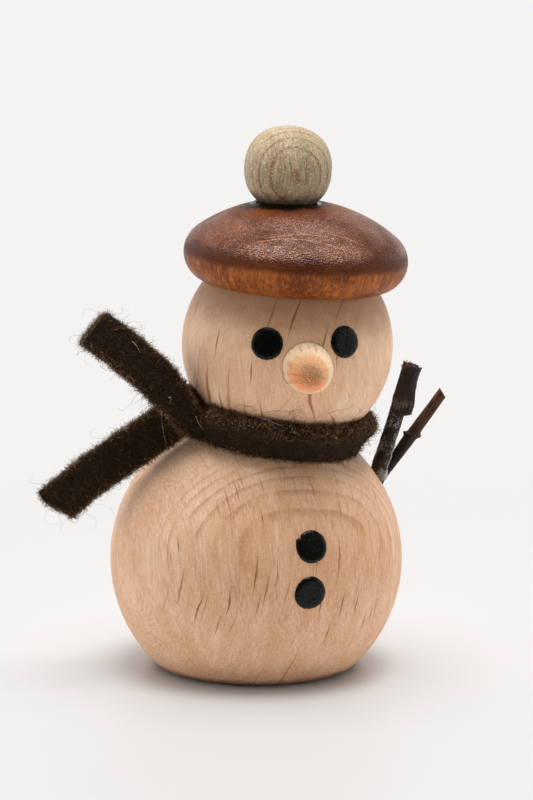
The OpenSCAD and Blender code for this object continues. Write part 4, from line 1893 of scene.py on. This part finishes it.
@dataclass
class Twigs:
    """Two cut twigs glued into one hole, a thick one in front and a thin one behind it.

    A lump of glue is given by its angle round the thick twig, its height and its radius.
    """

    depth: float = 4.6
    spread: float = 17.0
    turn: float = 24.0
    fit: float = 0.12
    thick_d: float = 1.9
    thick_len: float = 14.2
    thin_d: float = 1.2
    thin_len: float = 12.6
    thin_cut: float = -23.0
    thin_aside: float = 0.2
    spur_at: float = 8.8
    scar_at: float = 6.3
    snip: float = 2.0
    splinter_count: int = 46
    hair_count: int = 26
    glue_lumps: Tuple[Triple, ...] = (
        (-12, 0.25, 0.28), (14, 0.55, 0.3), (-34, 0.5, 0.2),
        (30, 0.1, 0.25), (-16, 1.05, 0.17), (-24, 4.3, 0.14),
    )

    def seat(self, thick: bool, high: float = 1.0) -> Matrix:
        """Frame of a twig at the mouth of the hole.

        Args:
            thick: whether it is the thick twig.
            high: height along the twig, which stands straight in the hole and leans above it.

        Returns:
            The frame, with +Z along the twig.
        """
        bore = self.thick_d + self.thin_d + 2 * self.fit
        across = self.thick_d if thick else self.thin_d
        side = (bore - across - self.fit) / 2 * (-1 if thick else 1) + (0.0 if thick else self.thin_aside)
        tilt = math.radians(self.spread / 2) * (-1 if thick else 1.12) * ease(high / 0.3 + 0.5)
        way = flat_dir(90 - self.turn) * side
        return FIGURE.twig_hole() @ Matrix.Translation(way) @ Matrix.Rotation(tilt, 4, "Y")

    def climb(self, row: float, rows: int, cap: int, length: float) -> Tuple[float, float, float]:
        """Place along a twig that is closed by a cap of some rows at both ends.

        Args:
            row: the row from 0 to rows.
            rows, cap: rows of the whole twig and of one cap.
            length: its length above the mouth of the hole.

        Returns:
            How wide open the row is, its share of the way up, and its height.
        """
        wide = min(1.0, row / cap, (rows - row) / cap)
        share = min(max((row - cap) / (rows - 2 * cap), 0.0), 1.0)
        return wide, share, -self.depth + (self.depth + length) * share

    def thick_radius(self, high: float, angle: float) -> float:
        """Radius of the thick twig, with the stump of a side shoot and a swollen torn end.

        Args:
            high: height along the twig.
            angle: direction round it, in radians.

        Returns:
            The radius there.
        """
        radius = self.thick_d / 2
        above = ease((high - self.spur_at) / 1.2)
        past = high - self.spur_at
        stump = ease((past + 0.85) / 0.6) * (1.0 if past < 0 else math.exp(-((past / 2.3) ** 1.8)))
        facing = max(0.0, math.cos(angle + 0.1)) ** 3
        flare = 0.1 * swell(high, self.thick_len, 1.3)
        return radius * (0.98 + 0.15 * above + flare) + 0.78 * stump * facing

    def thick(self, finish: Material, torn: Material) -> None:
        """Builds the thick twig with its splinters.

        Args:
            finish: the bark's material.
            torn: the splinters' material.
        """
        rows, around, cap = 190, 84, 9

        def place(turn: float, run: float) -> Vector:
            """Point of the bark, with the torn end sunk between its fibres.

            Args:
                turn: share of the way round.
                run: share of the way up.

            Returns:
                The point.
            """
            angle = 2 * math.pi * turn
            way = level(angle)
            wide, share, high = self.climb(run * rows, rows, cap, self.thick_len)
            radius = self.thick_radius(high, angle) if high > 0 else self.thick_d / 2
            spot = way * radius + Vector((0, 0, high))
            ridged = Vector((way.x * 2.6, way.y * 2.6, high * 0.55))
            if high > 0:
                radius += relief(ridged, (0.06, 1.0, 2.0)) + relief(spot, (0.03, 3.5, 5.0), (0.05, 0.7, 9.0))
            point = way * radius * math.sqrt(wide) + Vector((0, 0, high))
            if share == 1.0:
                jagged = 0.32 * rough(Vector((way.x * 1.6, way.y * 1.6, wide * 2)), 1.0, 4.0)
                point.z += jagged * math.sqrt(wide) + 0.16 * rough(point, 3.6, 1.0) - 0.25 * (1 - wide)
            return self.seat(True, high) @ point

        shape = rolled_tube(around, rows, place)
        piece = finished("twig_thick_bark", shape, finish)
        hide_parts("twig_thick")
        self.splinters(torn)

    def splinters(self, torn: Material) -> None:
        """Broken wood fibres that stand round the torn end.

        Args:
            torn: their material.
        """
        draw = np.random.default_rng(41)
        count, seat = self.splinter_count, self.seat(True)
        angle = draw.normal(math.pi, 0.9, size=count)
        radius = self.thick_d / 2 * draw.uniform(0.75, 1.12, size=count)
        down = draw.uniform(-0.75, 0.05, size=count)
        roots = placed_rows(round_rows(angle, radius, self.thick_len + down), seat)
        out = unit_rows(round_rows(angle, 1.0, draw.uniform(0.3, 1.6, size=count)))
        nap = Nap("twig_splinters", count, (0.25, 0.62), 0.075, (0.6, 0.98), 24, (0.0, 1.0), 1.0)
        paths = nap.paths(roots, turned_rows(out, seat), draw)
        radii = nap.radius * draw.uniform(0.4, 1.5, size=count)
        strands(nap.name, paths, radii, np.ones(count), torn)

    def end_hairs(self, wool: Material) -> None:
        """Dark hair-thin fibres at the torn end.

        Args:
            wool: their material.
        """
        draw = np.random.default_rng(43)
        count, seat = self.hair_count, self.seat(True)
        angle = draw.uniform(0, 2 * math.pi, size=count)
        radius = self.thick_d / 2 * draw.uniform(0.2, 1.0, size=count)
        roots = placed_rows(round_rows(angle, radius, np.full(count, self.thick_len - 0.1)), seat)
        ways = np.tile(np.array(seat)[:3, 2], (count, 1))
        nap = Nap("twig_end_hairs", count, (0.3, 1.0), 0.012, (0.6, 1.0), 30, (0.1, 0.5), 1.0, steps=5)
        paths = nap.paths(roots, ways, draw)
        tones = draw.uniform(*nap.tone, size=count)
        strands(nap.name, paths, np.full(count, nap.radius), tones, wool)

    def thin_radius(self, high: float, angle: float) -> float:
        """Radius of the thin twig, with a leaf scar's ring and two stubs.

        Args:
            high: height along the twig.
            angle: direction round it, in radians.

        Returns:
            The radius there.
        """
        below = 0.97 + 0.3 * max(high, 0.0) / self.scar_at
        above = 1.18 - 0.15 * (high - self.scar_at) / (self.thin_len - self.scar_at)
        scar = self.scar_at + 0.4 * math.cos(angle)
        radius = self.thin_d / 2 * (below + (above - below) * ease((high - scar) / 0.4))
        ring = 0.06 * swell(high, scar, 0.25)
        stubs = 0.3 * swell(high, scar + 0.15, 0.2) * max(0.0, -math.cos(angle)) ** 6
        ledge = 0.22 * swell(high, scar, 0.35) * max(0.0, math.cos(angle)) ** 4
        return radius + ring + stubs + ledge

    def thin(self, finish: Material) -> None:
        """Builds the thin twig.

        Args:
            finish: the bark's material.
        """
        rows, around, cap = 200, 56, 5

        def place(turn: float, run: float) -> Vector:
            """Point of the bark, with the top snipped off at a slant.

            Args:
                turn: share of the way round.
                run: share of the way up.

            Returns:
                The point.
            """
            angle = 2 * math.pi * turn
            way = level(angle)
            wide, _, high = self.climb(run * rows, rows, cap, self.thin_len)
            radius = self.thin_radius(high, angle) if high > 0 else self.thin_d / 2
            ridged = Vector((way.x * 2.4, way.y * 2.4, high * 0.4))
            if high > 0:
                radius += 0.03 * rough(ridged, 1.0, 3.0) + 0.02 * rough(way + Vector((0, 0, high)), 2.2, 6.0)
            point = way * radius * wide + Vector((0, 0, high))
            near = ease((high - self.thin_len + self.snip) / self.snip)
            point.z += point.x * math.tan(math.radians(self.thin_cut)) * near
            return self.seat(False, high) @ point

        shape = rolled_tube(around, rows, place)
        piece = finished("twig_thin_bark", shape, finish)
        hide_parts("twig_thin")

    def glue(self, finish: Material) -> None:
        """Builds the squeezed-out glue: lumps at the foot and a thread up the join.

        Args:
            finish: its material.
        """
        seat = self.seat(True)
        shape = bmesh.new()
        radius = self.thick_d / 2 + 0.05
        for angle, high, size in self.glue_lumps:
            spot = flat_dir(angle) * radius + Vector((0, 0, high))
            made = bmesh.ops.create_icosphere(shape, subdivisions=4, radius=size)["verts"]
            for vertex in made:
                vertex.co *= 1 + 0.35 * rough(vertex.co + spot, 2.4, 3.0) + 0.12 * rough(vertex.co, 7.0, 1.0)
                vertex.co.z *= 1.25
                vertex.co = seat @ (spot + vertex.co)
        finished("twig_glue", shape, finish)

        def place(turn: float, run: float) -> Vector:
            """Point of the thread of glue, which thins and wanders upwards.

            Args:
                turn: share of the way round.
                run: share of the way up.

            Returns:
                The point.
            """
            angle = 2 * math.pi * turn
            up = Vector((0, 0, 0.6 + 4.4 * run))
            centre = flat_dir(-20 + 22 * rough(up, 1.3, 2.0)) * (self.thick_d / 2 + 0.01)
            thin = math.sqrt(max(0.0, math.sin(math.pi * run)))
            size = 0.1 * thin * (1 + 0.5 * rough(up, 2.5, 7.0))
            return seat @ (centre + level(angle) * size + up)

        finished("twig_glue_thread", rolled_tube(10, 70, place), finish)

    def build(self, wool: Material) -> None:
        """Builds both twigs and their glue.

        Args:
            wool: the material of the fibres at the torn end.
        """
        thick_bark = Bark("bark_thick_finish", self.seat(True))
        thin_bark = Bark(
            "bark_thin_finish",
            self.seat(False),
            dark=srgb(30, 17, 10),
            brown=srgb(58, 36, 28),
            upper=srgb(102, 62, 24),
            upper_from=self.scar_at,
            lichen_share=0.12,
            lichen_top=4.0,
        )
        self.thick(thick_bark.material(), TornWood("torn_finish").material())
        self.end_hairs(wool)
        self.thin(thin_bark.material())
        self.glue(DriedGlue("glue_finish").material())


# ---- turned wood ----


class Turned(Enum):
    """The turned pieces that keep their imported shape."""

    BODY = "body"
    HEAD = "head"
    HAT = "hat"
    BOBBLE = "bobble"


@dataclass
class TurnedPieces:
    """Finishes of the turned pieces and of the dowels hidden in them."""

    body_rings_up: float = 15.7
    head_grain_dir: float = -125.0
    head_rings_up: float = -12.0
    bobble_grain_dir: float = -100.0
    bobble_rings_up: float = -4.0
    bobble_middle: float = 4.6

    def grain(self, centre: Vector, towards: float, up: float) -> Matrix:
        """Wood frame whose growth rings lie square to a direction.

        Args:
            centre: the frame's origin.
            towards: the direction round +Z that the rings face, in degrees.
            up: how far above the level they face.

        Returns:
            The frame, with -Y that way and +Z along the fibres.
        """
        level, lift = flat_dir(towards), math.radians(up)
        fibres = Vector((0, 0, math.cos(lift))) - level * math.sin(lift)
        return axes(centre, -level, fibres)

    def finish(self, piece: Turned) -> Finish:
        """The finish of one turned piece.

        Args:
            piece: which one.

        Returns:
            Its finish.
        """
        if piece is Turned.BODY:
            return FootedWood("beech_body", self.grain(FIGURE.body(), -90, self.body_rings_up), FIGURE.body_r)
        if piece is Turned.HEAD:
            return CrownedWood(
                "beech_head",
                self.grain(FIGURE.head(), self.head_grain_dir, self.head_rings_up),
                FIGURE.head_r,
                pale=srgb(236, 202, 174),
                tan=srgb(204, 156, 118),
                honey=srgb(220, 178, 140),
                streak=0.5,
                ring_strength=0.16,
                ring_gap=1.1,
                ring_from=-20,
                ring_full=-19,
                bend=-0.015,
                bend_at=-2.0,
                ray=srgb(146, 88, 46),
                ray_cell=(0.95, 15.0),
                ray_size=(0.15, 0.32),
                ray_fade=(41.0, 40.0),
                ray_share=0.5,
            )
        middle = FIGURE.bobble_seat() @ Vector((0, 0, self.bobble_middle))
        if piece is Turned.BOBBLE:
            return BobbleWood(
                "bobble_finish",
                self.grain(middle, self.bobble_grain_dir, self.bobble_rings_up),
                5.15,
                pale=srgb(192, 174, 146),
                tan=srgb(126, 103, 75),
                honey=srgb(166, 142, 110),
                ring=srgb(128, 84, 38),
                spark=srgb(228, 216, 196),
                ring_gap=1.0,
                ring_shift=-0.15,
                ring_strength=1.0,
                ring_start=0.66,
                ring_from=-20,
                ring_full=-19,
                ring_curve=0.0,
                wander=0.9,
                ray_share=0.0,
                dash_cell=(0.42, 3.0),
                dash_share=0.7,
                streak=1.0,
                speck=0.75,
                ring_reach=12.0,
                relief=0.045,
                rough=0.62,
            )
        seat = FIGURE.crown()
        return HatStain("hat_finish", seat, seat.inverted() @ middle)

    def build(self) -> None:
        """Dresses every turned piece and dowel."""
        for piece in Turned:
            dress(piece.value, self.finish(piece).material())
        plain = TurnedWood(
            "dowel_finish",
            FIGURE.neck(),
            2.0,
            pale=srgb(232, 208, 168),
            tan=srgb(212, 182, 138),
            ray_share=0.0,
        ).material()
        for node in ("neck_dowel", "hat_dowel", "bobble_pin"):
            dress(node, plain)


@dataclass
class VarnishPool:
    """Dark varnish that has dried in a wrinkled ring round the bobble's foot."""

    inner: float = 3.1
    outer: float = 4.15
    high: float = 0.5
    sunk: float = 0.2
    look_down: float = 4.0
    around: int = 26
    along: int = 220

    def build(self, finish: Material) -> None:
        """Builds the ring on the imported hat's own surface.

        Args:
            finish: its material.
        """
        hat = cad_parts["hat"]
        tree = BVHTree.FromObject(hat, bpy.context.evaluated_depsgraph_get())
        seat, placed = FIGURE.bobble_seat(), hat.matrix_world.inverted()
        shape = bmesh.new()
        bmesh.ops.create_grid(shape, x_segments=self.along, y_segments=self.around, size=0.5)
        for vertex in shape.verts:
            run, turn = vertex.co.x + 0.5, vertex.co.y + 0.5
            way = level(2 * math.pi * (run if run < 1 - SAME_SPOT else 0.0))
            share = min(2 * turn, 2 - 2 * turn)
            ragged = relief(way, (0.35, 1.3, 5.0), (0.2, 4.5, 2.0))
            out = self.inner + (self.outer + ragged - self.inner) * share
            top = seat @ (way * out + Vector((0, 0, self.look_down)))
            found = tree.ray_cast(placed @ (top * MM), placed.to_3x3() @ -seat.col[2].xyz)[0]
            ground = hat.matrix_world @ found / MM
            wrinkle = 1 + relief(way * out, (0.5, 1.8, 8.0), (0.3, 5.0, 3.0))
            above = self.high * wrinkle * (1 - share) ** 1.5
            under = -self.sunk * math.sin(math.pi * share)
            vertex.co = ground + seat.col[2].xyz * (above if turn < 0.5 else under)
        finished("hat_varnish_pool", joined(shape), finish)


# ---- stage ----


def sight(graph: Graph) -> Tuple[Wire, Wire]:
    """One wire that is 1 for what is looked at or through, and one for what is mirrored."""
    rays = graph.node("ShaderNodeLightPath", output="Is Camera Ray")
    return rays + rays.other("Is Transmission Ray"), rays.other("Is Glossy Ray")


@dataclass(frozen=True)
class FloorPaper(Finish):
    """Pale paper that fades into the backdrop away from the figure; a little past the figure's foot it is
    already partly clear, so the backdrop lightens the figure's shadow there as painted light.
    """

    colour: Colour = srgb(200, 199, 199)
    bounce: Colour = srgb(232, 228, 224)
    fade: Tuple[float, float] = (40.0, 170.0)
    foot: Tuple[float, float] = (9.5, 22.8)
    # painted light: how clear the floor is past the foot, which lightens the shadow
    thin: float = 0.26

    def shader(self, graph: Graph) -> Wire:
        """Works out the shader.

        Args:
            graph: the material's graph.

        Returns:
            The shader.
        """
        at = graph.place(Matrix())
        out = graph.vector("LENGTH", at, output="Value")
        seen, shiny = sight(graph)
        colour = graph.mix(seen + shiny, self.bounce, self.colour)
        paper = graph.principled({"Base Color": colour, "Roughness": 0.4})
        clear = graph.node("ShaderNodeBsdfTransparent")
        far = out.step(*self.fade)
        # painted light: partly clear past the foot, so the white backdrop lightens the shadow
        shadow_lift = out.step(*self.foot) * self.thin
        fade = (shadow_lift + (1.0 - shadow_lift) * far * far * (3.0 - far * 2.0)) * (seen + shiny)
        return graph.node("ShaderNodeMixShader", None, {0: fade, 1: paper, 2: clear})


@dataclass
class Stage:
    """Pale floor, soft light and the camera.

    The camera looks back along a direction at an angle to the front and above the level, and is rolled.
    """

    floor_r: float = 900.0
    floor_down: float = 0.02
    back_colour: Colour = srgb(244, 243, 242)
    camera_at: Triple = (-143.431, -366.731, 102.389)
    camera_side: float = -21.5205
    camera_lift: float = 10.117
    camera_roll: float = 0.4631
    lens: float = 151.13
    sensor: float = 36.0
    sight_from: float = 10.0
    sight_to: float = 20000.0
    lamp_at: Triple = (20.0, -8.0, 420.0)
    lamp_aim: float = 30.0
    lamp_side: float = 240.0
    lamp_watts: float = 1.85
    top_light: float = 0.8
    back_light: float = 1.95
    left_light: float = 2.55
    right_light: float = 2.15
    sky_dim: float = 0.85

    def floor(self) -> None:
        """Builds the floor, which fades into the backdrop."""
        shape = bmesh.new()
        bmesh.ops.create_circle(shape, cap_ends=True, segments=96, radius=self.floor_r * MM)
        bmesh.ops.translate(shape, vec=(0, 0, -self.floor_down * MM), verts=shape.verts[:])
        mesh = bpy.data.meshes.new("floor")
        shape.to_mesh(mesh)
        shape.free()
        mesh.materials.append(FloorPaper("floor_finish").material())
        piece = bpy.data.objects.new("floor", mesh)
        bpy.context.scene.collection.objects.link(piece)

    def world(self) -> None:
        """White tent round the figure, darker on the side where it is open."""
        world = bpy.data.worlds.new("tent")
        world.use_nodes = True
        bpy.context.scene.world = world
        graph = Graph(world.node_tree)
        way = graph.node("ShaderNodeTexCoord", output="Generated")
        facing, aside = (
            graph.vector("DOT_PRODUCT", way, tuple(flat_dir(self.camera_side + turn)), output="Value")
            for turn in (-90, 0)
        )
        high = graph.split(way)[2]
        flat = 1.001 - high * high
        behind, left, right = (
            wall.math("MAXIMUM", 0.0) * wall.math("MAXIMUM", 0.0) / flat
            for wall in (facing * -1.0, aside * -1.0, aside)
        )
        low = high.step(0.55, 0.25)
        top = high.step(0.7, 0.9)
        walls = behind * self.back_light + left * self.left_light + right * self.right_light
        light = top * self.top_light + low * walls + (1.0 - low - top) * behind * self.back_light
        open_side = facing.step(0.0, 0.8) * high.step(0.8, 0.35)
        seen, shiny = sight(graph)
        sky = 1.0 - high.step(0.3, 0.7) * self.sky_dim
        light = light * (1.0 - seen - shiny) + seen + shiny * (1.0 - open_side) * sky
        shade = graph.node("ShaderNodeBackground", None, {"Color": self.back_colour, "Strength": light})
        graph.node("ShaderNodeOutputWorld", None, {"Surface": shade})

    def lamp(self) -> None:
        """Soft panel over the figure that faces its middle."""
        light = bpy.data.lights.new("panel_top", "AREA")
        light.size = self.lamp_side * MM
        light.energy = self.lamp_watts
        lamp = bpy.data.objects.new("panel_top", light)
        place = Vector(self.lamp_at) * MM
        aim = Vector((0, 0, self.lamp_aim * MM)) - place
        lamp.matrix_world = Matrix.Translation(place) @ aim.to_track_quat("-Z", "Y").to_matrix().to_4x4()
        bpy.context.scene.collection.objects.link(lamp)

    def camera(self) -> None:
        """Sets the camera."""
        data = bpy.data.cameras.new("camera")
        data.lens = self.lens
        data.sensor_width = self.sensor
        data.clip_start = self.sight_from * MM
        data.clip_end = self.sight_to * MM
        camera = bpy.data.objects.new("camera", data)
        roll = Matrix.Rotation(math.radians(self.camera_roll), 4, "Z")
        place = Vector(self.camera_at) * MM
        camera.matrix_world = FIGURE.on_ball(place, self.camera_side, self.camera_lift) @ roll
        bpy.context.scene.collection.objects.link(camera)
        bpy.context.scene.camera = camera

    def build(self) -> None:
        """Sets the stage."""
        bpy.context.scene.view_settings.view_transform = "Standard"
        self.camera()
        self.floor()
        self.world()
        self.lamp()


def main() -> None:
    """Builds the stage and every piece of the figure in order."""
    logging.basicConfig(level=logging.INFO, format="%(name)s: %(message)s")
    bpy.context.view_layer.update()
    Stage().build()
    TurnedPieces().build()
    varnish = BlackPaint("varnish_finish", black=srgb(40, 23, 12), dust=srgb(126, 92, 60))
    VarnishPool().build(varnish.material())
    paint = BlackPaint("paint_finish").material()
    wool = Wool("fray_finish").material()
    Face().build(paint, wool)
    Buttons().build(paint)
    Scarf().build()
    Twigs().build(wool)


if __name__ == "__main__":
    main()
